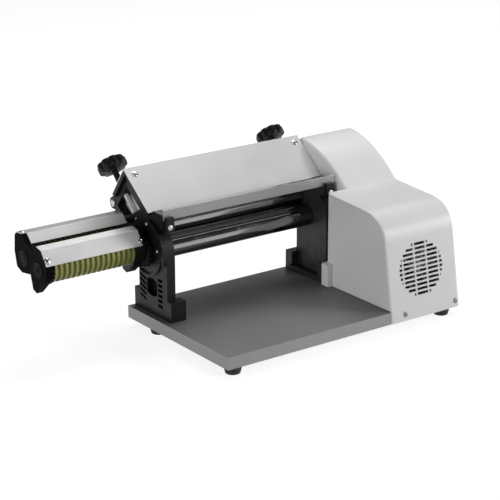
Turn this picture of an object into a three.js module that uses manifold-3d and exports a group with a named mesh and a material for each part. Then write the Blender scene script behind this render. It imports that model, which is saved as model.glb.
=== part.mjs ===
// Electric pasta maker. Two polished rollers turn between moulded uprights on a sheet-steel tray,
// a motor under the housing drives them through a belt, and a pair of grooved cutter rollers hangs
// outside the left upright. Millimetres: X runs along the rollers to the motor, Y to the rear, Z up.
import * as THREE from 'three';
import { mergeVertices } from 'three/addons/utils/BufferGeometryUtils.js';
import Module from 'manifold-3d';

const wasm = await Module();
wasm.setup();

const { degToRad } = THREE.MathUtils;

// Fits that the whole machine shares
const seat = 0.3;
const running_gap = 0.3;
const overrun = 5;

// Base tray and feet
const base_length = 597;
const base_depth = 356;
const base_thickness = 26;
const base_sheet = 2;
const base_flange = 48;
const foot_height = 16;
const foot_top_radius = 18.5;
const foot_bottom_radius = 15.5;
const foot_left_inset = 25;
const foot_right_inset = 31;
const foot_front_inset = 19;
const foot_rear_inset = 76;

// Rollers, and how far the upper one can be moved along its slanted guide
const roller_radius = 25;
const drive_bay = 155;
const roller_end_gap = 1;
const roller_chamfer = 1.5;
const shaft_radius = 10;
const shaft_overhang = 1.5;
const roller_rear_inset = 56;
const roller_height = 133.5;
const nip = 1.5;
const gap_close = 1;
const gap_open = 5;
const adjust_turn_share = 0.125;

// Uprights
const upright_inset = 14;
const upright_thickness = 20;
const head_radius = 71;
const column_depth = 103;
const waist_height = 102;
const shoe_toe = 14;
const shoe_length = 135;
const shoe_reach = 16;
const shoe_flange = 12;
const shoe_block_length = 22;
const shoe_block_height = 42;
const ear_reach = 59;
const ear_length = 48;
const ear_rise = 55.5;
const ear_height = 33;
const frame_raise = 8;
const frame_width = 7;
const crescent_raise = 4;
const crescent_radius = 54;
const crescent_width = 5;
const window_inset = 37;
const window_depth = 37;
const window_rise = 44;
const window_height = 29;
const window_arch = 5;
const window_pocket = 14;
const ladder_rise = 22;
const ladder_height = 66;
const ladder_pitch = 11;
const ladder_rib = 4.5;
const ladder_slant = 8;
const ladder_pocket = 7;
const ladder_front_edge = 17;
const ladder_edge = 3;
const bush_wall = 5;

// Gable of the uprights, the rear lug and the tie rod through it
const gable_front_bar = 32;
const gable_rear_bar = 19;
const gable_web = 10.7;
const gable_sag = 14.5;
const lug_reach = 127;
const lug_rise = 68.5;
const lug_radius = 13;
const tie_radius = 6;
const tie_cap_radius = 8;
const tie_cap = 3;

// Sheet cover over the rollers, placed from the axis of the lower one
const cover_sheet = 1.5;
const ridge_reach = 70;
const ridge_rise = 156.5;
const front_edge_reach = 21;
const front_edge_rise = 86;
const rear_edge_reach = 116;
const rear_edge_rise = 91.5;
const cover_overhang = 9;
const cover_tower_gap = 0.5;
const cheek_inset = 0.6;
const cheek_roller_gap = 3;
const cheek_floor_rise = 49.5;
const cheek_hole_radius = 9;
const cheek_hole_reach = 92;
const cheek_hole_rise = 66.5;
const cover_screw_drop = 18;

// Front lip and its clamps
const lip_sheet = 1.8;
const lip_rise = 77.5;
const lip_height = 21;
const clamp_depth = 12;
const clamp_rise = 54.5;
const clamp_height = 30;
const clamp_inset = 3;
const clamp_screw_rise = 10;
const clamp_screw_bite = 6;

// Bearing blocks, adjusting screws and knobs of the upper roller
const block_width = 30;
const block_length = 34;
const block_inset = 0.6;
const screw_radius = 5;
const sleeve_radius = 6.5;
const sleeve_start = 104;
const sleeve_length = 31;
const knob_radius = 29.5;
const knob_lobe = 2.5;
const knob_lobes = 9;
const knob_thickness = 27;
const knob_distance = 135.5;
const knob_socket = 10;
const knob_rounding = 3;

// Motor housing
const housing_wall = 2.7;
const housing_rounding = 6;
const housing_hem_gap = 0.5;
const housing_base_gap = 1.5;
const box_overhang = 11;
const tower_gap = 8;
const front_lean = 28;
const front_height = 166;
const shelf_height = 224;
const shelf_rise = 6;
const shelf_front = 106;
const shelf_roller_gap = 87;
const tower_overlap = 40;
const tower_step = 2;
const tower_slope_inset = 97.5;
const tower_slope_rise = 138;
const tower_top_inset = 16;
const tower_top_rise = 151;
const tower_shoulder = 14;
const tower_rounding = 16;
const tower_bulge = 17;
const bulge_bottom = 72;
const bulge_slope = 48;
const boss_reach = 15;
const boss_length = 23;
const boss_height = 50;
const boss_rear_gap = 0.5;
const boss_rounding = 4;
const shaft_hole_gap = 1;
const grille_inset = 98;
const grille_rise = 75;
const grille_radius = 59;
const slot_length = 28.8;
const slot_height = 5.8;
const slot_pitch = 9.4;
const slot_column_pitch = 32.2;
const slot_shortest = 2.4;

// Motor, fan and gearbox
const motor_radius = 43;
const motor_length = 72;
const motor_front = 46;
const motor_shaft_radius = 6;
const motor_rounding = 3;
const fan_radius = 49;
const fan_hub_radius = 14;
const fan_depth = 11;
const fan_gap = 5;
const fan_blades = 7;
const fan_blade = 2.4;
const fan_turn_share = 0.1;
const cradle_width = 58;
const cradle_length = 50;
const cradle_wall = 6;
const cradle_drop = 12;
const gearbox_length = 66;
const gearbox_width = 62;
const gearbox_height = 80;
const gearbox_gap = 1;
const gearbox_rounding = 3;
const input_shaft_depth = 18;
const output_shaft_depth = 30;
const output_radius = 8;

// Belt drive and roller gears inside the tower
const drive_pulley_radius = 18;
const driven_pulley_radius = 50;
const pulley_width = 13;
const pulley_flange = 1.2;
const pulley_lip = 3;
const belt_thickness = 2.4;
const drive_gap = 4;
const gear_width = 13;
const roller_gear_teeth = 14;

// Cutter with two grooved rollers, and its drive from the lower roller
const cutter_gap = 19;
const cutter_plate = 22;
const cutter_left_plate = 14;
const cutter_roller_length = 192;
const cutter_end_gap = 1;
const cutter_shaft_radius = 6;
const cutter_shaft_inset = 2;
const cutter_lift = 6.1;
const cutter_shift = 8;
const cutter_turn_share = 0.025;
const ring_radius = 29.4;
const ring_overlap = 2.1;
const ring_depth = 3.9;
const ring_side_gap = 0.4;
const ring_count = 16;
const pair_gear_width = 7;
const pair_gear_gap = 1;
const pair_gear_teeth = 20;
const transfer_gear_width = 9;
const transfer_gear_gap = 5;
const output_gear_teeth = 16;
const input_gear_teeth = 20;
const spacer_radius = 5;
const cutter_sheet = 1.5;
const front_cover_left_inset = 0.8;
const front_cover_right_inset = 7.6;
const rear_cover_left_inset = 11;
const rear_cover_overhang = 3;
const rear_cover_tab = 19;
const cutter_lobe_margin = 18;
const cutter_neck_depth = 30;
const cutter_neck_drop = 17;
const cutter_screw_rise = 11;

// Switch on the right wall and power inlet on the rear wall
const switch_y = 110;
const switch_z = 150;
const switch_width = 22;
const switch_height = 32;
const switch_depth = 20;
const switch_wall = 3;
const bezel_thickness = 2;
const bezel_margin = 3;
const rocker_side_gap = 0.6;
const rocker_end_gap = 1.1;
const rocker_rise = 3.5;
const rocker_depth = 6;
const rocker_dip = 1.5;
const inlet_inset = 42;
const inlet_rise = 20;
const inlet_width = 27;
const inlet_height = 20;
const inlet_depth = 20;
const inlet_wall = 2;
const pin_width = 4;
const pin_thickness = 2;
const pin_length = 9;
const pin_spacing = 7;
const pin_step = 2;

// Screws
const screw_head_radius = 6;
const screw_head = 2.4;
const screw_shank_radius = 2.5;
const screw_bite = 7;
const skirt_screw_rise = 14;
const skirt_screw_bite = 10;
const skirt_screw_left = 39;
const skirt_screw_right = 8;

// Places worked out from the sizes, from left to right and from the base upwards
const base_top = base_thickness;
const floor = base_top + seat;
const left_outer = upright_inset;
const left_inner = left_outer + upright_thickness;
const roller_length = base_length - left_inner - upright_thickness - 2 * roller_end_gap - drive_bay;
const right_inner = left_inner + roller_length + 2 * roller_end_gap;
const right_outer = right_inner + upright_thickness;
const left_middle = (left_outer + left_inner) / 2;
const right_middle = (right_outer + right_inner) / 2;
const tower_left = right_outer + tower_gap;
const box_left = right_inner - box_overhang;
const housing_right = base_length + seat + housing_wall;
const housing_front = -seat - housing_wall;
const housing_rear = base_depth + seat + housing_wall;
const point = (y, z) => new THREE.Vector2(y, z);
const lower_axis = point(base_depth - roller_rear_inset, base_top + roller_height);
const from_roller = (reach, rise) => lower_axis.clone().add(point(reach, rise));
const column_front = lower_axis.x - head_radius;
const column_rear = column_front + column_depth;
const shoe_front = column_front - shoe_toe;
const shoe_rear = shoe_front + shoe_length;
const ear_front = lower_axis.x - ear_reach;
const lip_front = ear_front - seat - lip_sheet;
const lip_bottom = lower_axis.y + lip_rise;
const clamp_front = lip_front + lip_sheet - clamp_depth;
const clamp_bottom = lower_axis.y + clamp_rise;
const shelf_rear = lower_axis.x - shelf_roller_gap;
const tower_rear = housing_rear + tower_bulge;
const tower_top = point(tower_rear - tower_top_inset, lower_axis.y + tower_top_rise);
const tower_slope = point(tower_rear - tower_slope_inset, lower_axis.y + tower_slope_rise);
const lean_share = front_lean / front_height;
const tray_notch = lean_share * base_top + seat;
const ear_bottom = lower_axis.y + ear_rise;
const full_turn = 2 * Math.PI;
const adjust_angle = full_turn * adjust_turn_share;
const along = point(Math.cos(adjust_angle), Math.sin(adjust_angle));
const across = point(-along.y, along.x);
const upper_axis = lower_axis.clone().addScaledVector(along, 2 * roller_radius + nip);
const on_guide = (distance, aside = 0) => upper_axis.clone()
  .addScaledVector(along, distance)
  .addScaledVector(across, aside);
const guide_end = block_length / 2 + gap_open + seat;
const gear_left = tower_left + housing_wall + drive_gap;
const pulley_left = gear_left + gear_width + drive_gap;
const pulley_right = pulley_left + pulley_width;
const gearbox_left = pulley_right + drive_gap;
const motor_x = housing_right - grille_inset;
const motor_z = base_top + grille_rise;
const gearbox_front = motor_front + motor_length + gearbox_gap;
const output_axis = point(gearbox_front + gearbox_length / 2, motor_z);
const cutter_right = left_outer - cutter_gap;
const cutter_right_inner = cutter_right - cutter_plate;
const cutter_left_inner = cutter_right_inner - cutter_roller_length - 2 * cutter_end_gap;
const cutter_left = cutter_left_inner - cutter_left_plate;
const cutter_distance = 2 * ring_radius - ring_overlap;
const front_cutter = point(lower_axis.x + cutter_shift, lower_axis.y + cutter_lift);
const cutter_tilt = full_turn * cutter_turn_share;
const cutter_line = point(Math.cos(cutter_tilt), Math.sin(cutter_tilt));
const rear_cutter = front_cutter.clone().addScaledVector(cutter_line, cutter_distance);
const transfer_left = cutter_right + transfer_gear_gap;
const transfer_right = transfer_left + transfer_gear_width;

const finishes = {
  light_paint: { color: 0xd6d6d4, roughness: 0.45, metalness: 0.1 },
  grey_paint: { color: 0x8e8f90, roughness: 0.5, metalness: 0.2 },
  black_plastic: { color: 0x1c1c1d, roughness: 0.5, metalness: 0 },
  chrome: { color: 0xd9dadb, roughness: 0.08, metalness: 1 },
  steel: { color: 0x9a9b9c, roughness: 0.35, metalness: 0.9 },
  bronze: { color: 0x9c7b45, roughness: 0.4, metalness: 0.8 },
  olive_plastic: { color: 0x8b8c58, roughness: 0.55, metalness: 0 },
  rubber: { color: 0x161616, roughness: 0.9, metalness: 0 },
  dark_metal: { color: 0x3b3c3e, roughness: 0.5, metalness: 0.6 },
};

const machine = new THREE.Group();

// A closed geometry becomes a solid once its shared corners are merged
function solid(geometry) {
  const bare = geometry.clone();
  bare.deleteAttribute('normal');
  bare.deleteAttribute('uv');
  const merged = mergeVertices(bare);
  const corners = merged.index.array;
  const kept = [];
  const flipped = [];
  for (let i = 0; i < corners.length; i += 3) {
    const [a, b, c] = [corners[i], corners[i + 1], corners[i + 2]];
    if (a !== b && b !== c && c !== a) {
      kept.push(a, b, c);
      flipped.push(a, c, b);
    }
  }
  const build = (triangles) => new wasm.Manifold(new wasm.Mesh({
    numProp: 3,
    vertProperties: new Float32Array(merged.attributes.position.array),
    triVerts: new Uint32Array(triangles),
  }));
  const made = build(kept);
  return made.volume() > 0 ? made : build(flipped);
}

const joined = (first, ...rest) => rest.reduce((sum, next) => sum.add(next), first);
const cut = (first, ...rest) => rest.reduce((left, tool) => left.subtract(tool), first);

function add_part(name, body, finish) {
  const mesh = body.getMesh();
  const geometry = new THREE.BufferGeometry();
  const positions = new Float32Array(mesh.vertProperties);
  geometry.setAttribute('position', new THREE.BufferAttribute(positions, 3));
  geometry.setIndex(new THREE.BufferAttribute(new Uint32Array(mesh.triVerts), 1));
  geometry.computeVertexNormals();
  const part = new THREE.Mesh(geometry, new THREE.MeshStandardMaterial(finishes[finish]));
  part.name = name;
  machine.add(part);
}

function box([x_low, x_high], [y_low, y_high], [z_low, z_high]) {
  const geometry = new THREE.BoxGeometry(x_high - x_low, y_high - y_low, z_high - z_low);
  return solid(geometry.translate((x_low + x_high) / 2, (y_low + y_high) / 2, (z_low + z_high) / 2));
}

const place = (x, at) => new THREE.Vector3(x, at.x, at.y);

// An outline extruded along one axis of the machine, its end faces rounded over if asked.
// The outline lies in YZ for x, in XZ for y and in XY for z.
const extrusion_turns = {
  x: new THREE.Matrix4().set(0, 0, 1, 0, 1, 0, 0, 0, 0, 1, 0, 0, 0, 0, 0, 1),
  y: new THREE.Matrix4().set(1, 0, 0, 0, 0, 0, 1, 0, 0, 1, 0, 0, 0, 0, 0, 1),
  z: new THREE.Matrix4(),
};

function prism(axis, points, [low, high], rounding = 0) {
  const geometry = new THREE.ExtrudeGeometry(new THREE.Shape(points), {
    depth: high - low - 2 * rounding,
    bevelEnabled: rounding > 0,
    bevelThickness: rounding,
    bevelSize: rounding,
    bevelOffset: -rounding,
    bevelSegments: 2,
  });
  geometry.translate(0, 0, low + rounding);
  return solid(geometry.applyMatrix4(extrusion_turns[axis]));
}

// A rod between two points; a hole is cut with its flats, not its corners, at the radius
function rod(from, to, radius, sides = 20) {
  const line = new THREE.Vector3().subVectors(to, from);
  const middle = new THREE.Vector3().addVectors(from, to).multiplyScalar(0.5);
  const geometry = new THREE.CylinderGeometry(radius, radius, line.length(), sides);
  const up = new THREE.Vector3(0, 1, 0);
  geometry.applyQuaternion(new THREE.Quaternion().setFromUnitVectors(up, line.normalize()));
  return solid(geometry.translate(middle.x, middle.y, middle.z));
}

const around = (radius, sides) => radius / Math.cos(Math.PI / sides);
const hole = (from, to, radius, sides = 20) => rod(from, to, around(radius, sides), sides);
const rod_x = (at, [low, high], radius, sides) => rod(place(low, at), place(high, at), radius, sides);
const hole_x = (at, [low, high], radius, sides) => (
  hole(place(low - overrun, at), place(high + overrun, at), radius, sides));

// A profile of [place along X, radius] turned about an axis parallel to X
function turned_x(profile, at, sides) {
  const closed = [[profile[0][0], 0], ...profile, [profile[profile.length - 1][0], 0]];
  const geometry = new THREE.LatheGeometry(closed.map(([x, radius]) => point(radius, x)), sides);
  geometry.applyMatrix4(new THREE.Matrix4().set(0, 1, 0, 0, 0, 0, 1, 0, 1, 0, 0, 0, 0, 0, 0, 1));
  return solid(geometry.translate(0, at.x, at.y));
}

// Points on an arc from one angle over a sweep, both ends included
function arc(at, radius, start, sweep, steps) {
  return Array.from({ length: steps + 1 }, (_, i) => {
    const angle = start + (sweep * i) / steps;
    return point(at.x + radius * Math.cos(angle), at.y + radius * Math.sin(angle));
  });
}

const curve = (from, pull, to, steps) => new THREE.QuadraticBezierCurve(from, pull, to).getPoints(steps);

// A path moved sideways to its left; a closed one joins its ends
function moved(points, distance, closed = false) {
  const last = points.length - 1;
  const wrap = (i) => (closed ? points[(i + points.length) % points.length] : points[i]);
  return points.map((here, i) => {
    const before = i > 0 || closed ? wrap(i - 1) : null;
    const after = i < last || closed ? wrap(i + 1) : null;
    const first = (before ? here.clone().sub(before) : after.clone().sub(here)).normalize();
    const second = after ? after.clone().sub(here).normalize() : first;
    const normal = point(-first.y - second.y, first.x + second.x).normalize();
    return here.clone().addScaledVector(normal, distance / (normal.y * first.x - normal.x * first.y));
  });
}

const band = (points, near, far) => [...moved(points, near), ...moved(points, far).reverse()];

// Involute spur gear, with one tooth centred on the given angle
const pressure_turn_share = 0.0625;
const pressure_angle = full_turn * pressure_turn_share;
const addendum_share = 0.95;
const dedendum_share = 1.3;
const backlash_share = 0.16;

function gear(at, teeth, pitch_radius, tooth_angle, span, shaft) {
  const module = (2 * pitch_radius) / teeth;
  const involute = (radius) => {
    const roll = Math.sqrt(Math.max((radius / pitch_radius / Math.cos(pressure_angle)) ** 2 - 1, 0));
    return roll - Math.atan(roll);
  };
  const half_tooth = (Math.PI / 2 / teeth) * (1 - backlash_share) + involute(pitch_radius);
  const root = pitch_radius - dedendum_share * module;
  const tip = pitch_radius + addendum_share * module;
  const outline = [];
  for (let i = 0; i < teeth; i += 1) {
    const middle = tooth_angle + (2 * Math.PI * i) / teeth;
    const add = (r, angle) => outline.push(point(at.x + r * Math.cos(angle), at.y + r * Math.sin(angle)));
    [root, pitch_radius, tip].forEach((r) => add(r, middle - half_tooth + involute(r)));
    [tip, pitch_radius, root].forEach((r) => add(r, middle + half_tooth - involute(r)));
  }
  return cut(prism('x', outline, span), hole_x(at, span, shaft + seat, 18));
}

// Two meshed gears: a tooth of the first points into a gap of the second
function gear_pair(first, second, span) {
  const line = second.at.clone().sub(first.at);
  const radius = (line.length() * first.teeth) / (first.teeth + second.teeth);
  const facing = line.angle();
  const opposite = facing + Math.PI + Math.PI / second.teeth;
  return [
    gear(first.at, first.teeth, radius, facing, span, first.shaft),
    gear(second.at, second.teeth, line.length() - radius, opposite, span, second.shaft),
  ];
}

// Screws: a domed head that lies on the surface and a shank that goes through it
const dome_share = 0.6;
const forward = new THREE.Vector3(0, -1, 0);

function screw(name, surface, outward, bite = screw_bite) {
  const middle = surface.clone().addScaledVector(outward, seat + screw_head / 2);
  const head = new THREE.CylinderGeometry(screw_head_radius * dome_share, screw_head_radius, screw_head, 14);
  head.applyQuaternion(new THREE.Quaternion().setFromUnitVectors(new THREE.Vector3(0, 1, 0), outward));
  head.translate(middle.x, middle.y, middle.z);
  const tip = surface.clone().addScaledVector(outward, -bite);
  add_part(name, joined(solid(head), rod(tip, middle, screw_shank_radius, 8)), 'steel');
}

function screw_hole(surface, outward, bite = screw_bite) {
  const from = surface.clone().addScaledVector(outward, overrun);
  const to = surface.clone().addScaledVector(outward, -bite - seat);
  return hole(from, to, screw_shank_radius + seat, 8);
}

// Outer skin of the sheet cover: front edge, ridge and rear edge
const ridge = from_roller(ridge_reach, ridge_rise);
const skin = [
  from_roller(-front_edge_reach, front_edge_rise),
  ridge,
  from_roller(rear_edge_reach, rear_edge_rise),
];
const front_slope = ridge.clone().sub(skin[0]).normalize();
const rear_slope = skin[2].clone().sub(ridge).normalize();
const under_skin = (depth) => moved(skin, -depth);
const cover_room = [
  skin[0].clone().addScaledVector(front_slope, -seat),
  ridge,
  skin[2].clone().addScaledVector(rear_slope, seat),
];
const cover_screw_spot = ridge.clone().addScaledVector(front_slope, -cover_screw_drop);
const cover_screw_way = new THREE.Vector3(0, -front_slope.y, front_slope.x);
const cover_screws = [left_middle, right_middle].map((x) => place(x, cover_screw_spot));
const clamp_screws = [left_middle, right_middle].map((x) => (
  new THREE.Vector3(x, clamp_front, clamp_bottom + clamp_screw_rise)));
const clamp_screw_depth = clamp_depth + clamp_screw_bite;
const lug = from_roller(lug_reach, lug_rise);
const sides = ['left', 'right'];

// Skirt screws hold the leaning front of the housing on the tray
const skirt_way = new THREE.Vector3(0, -1, lean_share).normalize();
const skirt_screws = [box_left + skirt_screw_left, base_length - skirt_screw_right].map((x) => (
  new THREE.Vector3(x, housing_front + lean_share * skirt_screw_rise, skirt_screw_rise)));

// Outline of the tray from above, set back behind the front of the housing
function tray_outline(inset) {
  const step_x = box_left - seat - inset;
  return [
    point(inset, inset),
    point(step_x, inset),
    point(step_x, tray_notch + inset),
    point(base_length - inset, tray_notch + inset),
    point(base_length - inset, base_depth - inset),
    point(inset, base_depth - inset),
  ];
}

function build_base() {
  const tray = prism('z', tray_outline(0), [0, base_thickness]);
  const hollow = prism('z', tray_outline(base_sheet), [base_sheet, base_thickness - base_sheet]);
  const opening_x = [base_flange, base_length - base_flange];
  const opening_y = [base_flange, base_depth - base_flange];
  const opening = box(opening_x, opening_y, [-overrun, base_thickness / 2]);
  const screws = skirt_screws.map((spot) => screw_hole(spot, skirt_way, skirt_screw_bite));
  add_part('base_tray', cut(tray, hollow, opening, ...screws), 'grey_paint');

  const feet = {
    foot_front_left: [foot_left_inset, foot_front_inset],
    foot_front_right: [base_length - foot_right_inset, foot_front_inset],
    foot_rear_left: [foot_left_inset, base_depth - foot_rear_inset],
    foot_rear_right: [base_length - foot_right_inset, base_depth - foot_rear_inset],
  };
  Object.entries(feet).forEach(([name, [x, y]]) => {
    const foot = new THREE.CylinderGeometry(foot_top_radius, foot_bottom_radius, foot_height, 24);
    foot.rotateX(Math.PI / 2);
    add_part(name, solid(foot.translate(x, y, -seat - foot_height / 2)), 'rubber');
  });
}

// Outline of an upright: column, round head, gable under the cover, rear lug and the waist below it
const waist_shares = [[0.76, 0.62], [0.48, 0.4], [0.17, 0.12]];

function upright_outline() {
  const waist_z = floor + waist_height;
  const waist = waist_shares.map(([y_share, z_share]) => point(
    column_rear + y_share * (lug.x - column_rear),
    waist_z + z_share * (lug.y - waist_z),
  ));
  return [
    point(column_front, floor),
    ...arc(lower_axis, head_radius, Math.PI, -Math.PI / 3, 8),
    ...under_skin(cover_sheet + seat),
    ...arc(lug, lug_radius, degToRad(70), -degToRad(185), 8),
    ...waist,
    point(column_rear, waist_z),
    point(column_rear, floor),
  ];
}

// See-through opening of the gable: a front bar, a rear bar, and a floor that sags towards the lug
const gable_front_share = 0.288;
const gable_rear_share = 1.2;
const gable_sag_share = 0.6;

function gable_opening() {
  const front = under_skin(gable_front_bar);
  const rear = under_skin(gable_rear_bar);
  const cross = front_slope.x * rear_slope.y - front_slope.y * rear_slope.x;
  const gap = rear[2].clone().sub(front[0]);
  const reach = (gap.x * rear_slope.y - gap.y * rear_slope.x) / cross;
  const front_span = ridge.distanceTo(skin[0]);
  const rear_span = ridge.distanceTo(skin[2]);
  const front_corner = front[0].clone().addScaledVector(front_slope, gable_front_share * front_span);
  const top = front[0].clone().addScaledVector(front_slope, reach);
  const rear_corner = rear[2].clone().addScaledVector(rear_slope, (gable_rear_share - 1) * rear_span);
  const floor_corner = on_guide(guide_end + gable_web);
  const sagged = floor_corner.clone().lerp(rear_corner, gable_sag_share).add(point(0, -gable_sag));
  return [front_corner, floor_corner, sagged, rear_corner, top];
}

const arch_shares = [0.25, 0.5, 0.75];

function window_outline() {
  const front = column_front + window_inset;
  const bottom = base_top + window_rise;
  const top = bottom + window_height;
  const swell = (share) => window_arch * Math.sin(Math.PI * share);
  const over = (share) => front + share * window_depth;
  return [
    point(front, bottom),
    ...arch_shares.map((share) => point(over(share), bottom - swell(share))),
    point(front + window_depth, bottom),
    point(front + window_depth, top),
    ...arch_shares.map((share) => point(over(1 - share), top + swell(share))),
    point(front, top),
  ];
}

// Both uprights are made the same way, from the outer face towards the rollers
function build_upright(name, outer, inward, cover_screw, clamp_screw) {
  const from_outer = (a, b) => [outer + inward * a, outer + inward * b].sort((p, q) => p - q);
  const whole = from_outer(0, upright_thickness);
  const through = from_outer(-frame_raise - overrun, upright_thickness + overrun);
  const shoe_span = from_outer(0, upright_thickness + shoe_reach);
  const middle = outer + inward * (upright_thickness / 2);

  const shoe = box(shoe_span, [shoe_front, shoe_rear], [floor, floor + shoe_flange]);
  const blocks = [shoe_front, shoe_rear - shoe_block_length].map((y) => (
    box(shoe_span, [y, y + shoe_block_length], [floor, floor + shoe_block_height])));
  const ear = box(whole, [ear_front, ear_front + ear_length], [ear_bottom, ear_bottom + ear_height]);

  // Raised frames on the outer face: along the gable, round the head and below the roller
  const raised = from_outer(-frame_raise, upright_thickness / 2);
  const gable_frame = prism('x', band(under_skin(cover_sheet + seat), 0, -frame_width), raised);
  const head_start = degToRad(105);
  const head_sweep = degToRad(88);
  const head_frame = prism('x', [
    ...arc(lower_axis, head_radius, head_start, head_sweep, 10),
    ...arc(lower_axis, head_radius - frame_width, head_start + head_sweep, -head_sweep, 10),
  ], raised);
  const crescent_start = degToRad(195);
  const crescent_sweep = degToRad(100);
  const crescent_end = crescent_start + crescent_sweep;
  const crescent = prism('x', [
    ...arc(lower_axis, crescent_radius, crescent_start, crescent_sweep, 12),
    ...arc(lower_axis, crescent_radius - crescent_width, crescent_end, -crescent_sweep, 12),
  ], from_outer(-crescent_raise, upright_thickness / 2));

  const guide_start = -block_length / 2 - gap_close - seat;
  const guide_half = block_width / 2 + running_gap;
  const guide = prism('x', [
    on_guide(guide_start, -guide_half),
    on_guide(guide_end, -guide_half),
    on_guide(guide_end, guide_half),
    on_guide(guide_start, guide_half),
  ], through);

  // Ladders of pockets beside the window; those behind it rise towards the rear
  const columns = [
    { from: column_front + ladder_front_edge, to: column_front + window_inset - ladder_edge, slant: 0 },
    {
      from: column_front + window_inset + window_depth + ladder_edge,
      to: column_rear - ladder_edge,
      slant: ladder_slant,
    },
  ];
  const rungs = Math.floor(ladder_height / ladder_pitch);
  const pocket_span = from_outer(-overrun, ladder_pocket);
  const pockets = columns.flatMap(({ from, to, slant }) => Array.from({ length: rungs }, (_, i) => {
    const low = base_top + ladder_rise + i * ladder_pitch;
    const high = low + ladder_pitch - ladder_rib;
    return prism('x', [
      point(from, low),
      point(to, low + slant),
      point(to, high + slant),
      point(from, high),
    ], pocket_span);
  }));

  const body = joined(
    prism('x', upright_outline(), whole),
    shoe,
    ...blocks,
    ear,
    gable_frame,
    head_frame,
    crescent,
  );
  const bush_radius = shaft_radius + running_gap + bush_wall;
  const stem_start = place(middle, on_guide(guide_end - overrun));
  const stem_end = place(middle, on_guide(knob_distance));
  add_part(name, cut(
    body,
    prism('x', band(cover_room, overrun, -cover_sheet - seat), through),
    hole_x(lower_axis, through, bush_radius + seat, 28),
    guide,
    prism('x', gable_opening(), through),
    prism('x', window_outline(), from_outer(-overrun, window_pocket)),
    hole(stem_start, stem_end, screw_radius + seat),
    hole_x(lug, through, tie_radius + seat),
    screw_hole(cover_screw, cover_screw_way),
    screw_hole(clamp_screw, forward, clamp_screw_depth),
    ...pockets,
  ), 'black_plastic');
}

function build_bush(name, [low, high]) {
  const outer = rod_x(lower_axis, [low, high], shaft_radius + running_gap + bush_wall, 28);
  add_part(name, cut(outer, hole_x(lower_axis, [low, high], shaft_radius + running_gap, 28)), 'bronze');
}

function build_tie_rod() {
  const left = left_outer - seat;
  const right = right_outer + seat;
  add_part('rear_tie_rod', turned_x([
    [left - tie_cap, tie_cap_radius - tie_cap / 2],
    [left - tie_cap / 2, tie_cap_radius],
    [left, tie_cap_radius],
    [left, tie_radius],
    [right, tie_radius],
    [right, tie_cap_radius],
    [right + tie_cap, tie_cap_radius],
  ], lug, 20), 'steel');
}

// A roller body with a shaft at each end
function roller_profile(shaft_left, body_left, body_right, shaft_right) {
  return [
    [shaft_left, shaft_radius],
    [body_left, shaft_radius],
    [body_left, roller_radius - roller_chamfer],
    [body_left + roller_chamfer, roller_radius],
    [body_right - roller_chamfer, roller_radius],
    [body_right, roller_radius - roller_chamfer],
    [body_right, shaft_radius],
    [shaft_right, shaft_radius],
  ];
}

function build_rollers() {
  const left = left_inner + roller_end_gap;
  const right = right_inner - roller_end_gap;
  const lower = roller_profile(transfer_left - shaft_overhang, left, right, pulley_right + shaft_overhang);
  const upper_right = gear_left + gear_width + shaft_overhang;
  const upper = roller_profile(left_outer + block_inset, left, right, upper_right);
  add_part('lower_roller', turned_x(lower, lower_axis, 40), 'chrome');
  add_part('upper_roller', turned_x(upper, upper_axis, 40), 'chrome');

  const [lower_gear, upper_gear] = gear_pair(
    { at: lower_axis, teeth: roller_gear_teeth, shaft: shaft_radius },
    { at: upper_axis, teeth: roller_gear_teeth, shaft: shaft_radius },
    [gear_left, gear_left + gear_width],
  );
  add_part('lower_roller_gear', lower_gear, 'steel');
  add_part('upper_roller_gear', upper_gear, 'steel');
}

function build_adjuster(side, outer, inward) {
  const near = outer + inward * block_inset;
  const far = outer + inward * (upright_thickness - block_inset);
  const span = [near, far].sort((p, q) => p - q);
  const block = prism('x', [
    on_guide(-block_length / 2, -block_width / 2),
    on_guide(block_length / 2, -block_width / 2),
    on_guide(block_length / 2, block_width / 2),
    on_guide(-block_length / 2, block_width / 2),
  ], span);
  const bore = hole_x(upper_axis, span, shaft_radius + running_gap, 28);
  add_part(`bearing_block_${side}`, cut(block, bore), 'bronze');

  const middle = outer + inward * (upright_thickness / 2);
  const spot = (distance) => place(middle, on_guide(distance));
  add_part(`adjusting_screw_${side}`, joined(
    rod(spot(block_length / 2 + seat), spot(knob_distance + knob_socket), screw_radius),
    rod(spot(sleeve_start), spot(sleeve_start + sleeve_length), sleeve_radius),
  ), 'dark_metal');

  const steps = 4 * knob_lobes;
  const outline = Array.from({ length: steps }, (_, i) => {
    const angle = (2 * Math.PI * i) / steps;
    const radius = knob_radius + knob_lobe * Math.cos(knob_lobes * angle);
    return point(radius * Math.cos(angle), radius * Math.sin(angle));
  });
  const blank = prism('z', outline, [0, knob_thickness], knob_rounding);
  const socket_start = new THREE.Vector3(0, 0, -overrun);
  const socket_end = new THREE.Vector3(0, 0, knob_socket + seat);
  const socket = hole(socket_start, socket_end, screw_radius + seat);
  const foot = spot(knob_distance);
  const tilt = THREE.MathUtils.radToDeg(adjust_angle - Math.PI / 2);
  const knob = cut(blank, socket).rotate([tilt, 0, 0]).translate([foot.x, foot.y, foot.z]);
  add_part(`adjusting_knob_${side}`, knob, 'black_plastic');
}

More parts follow.
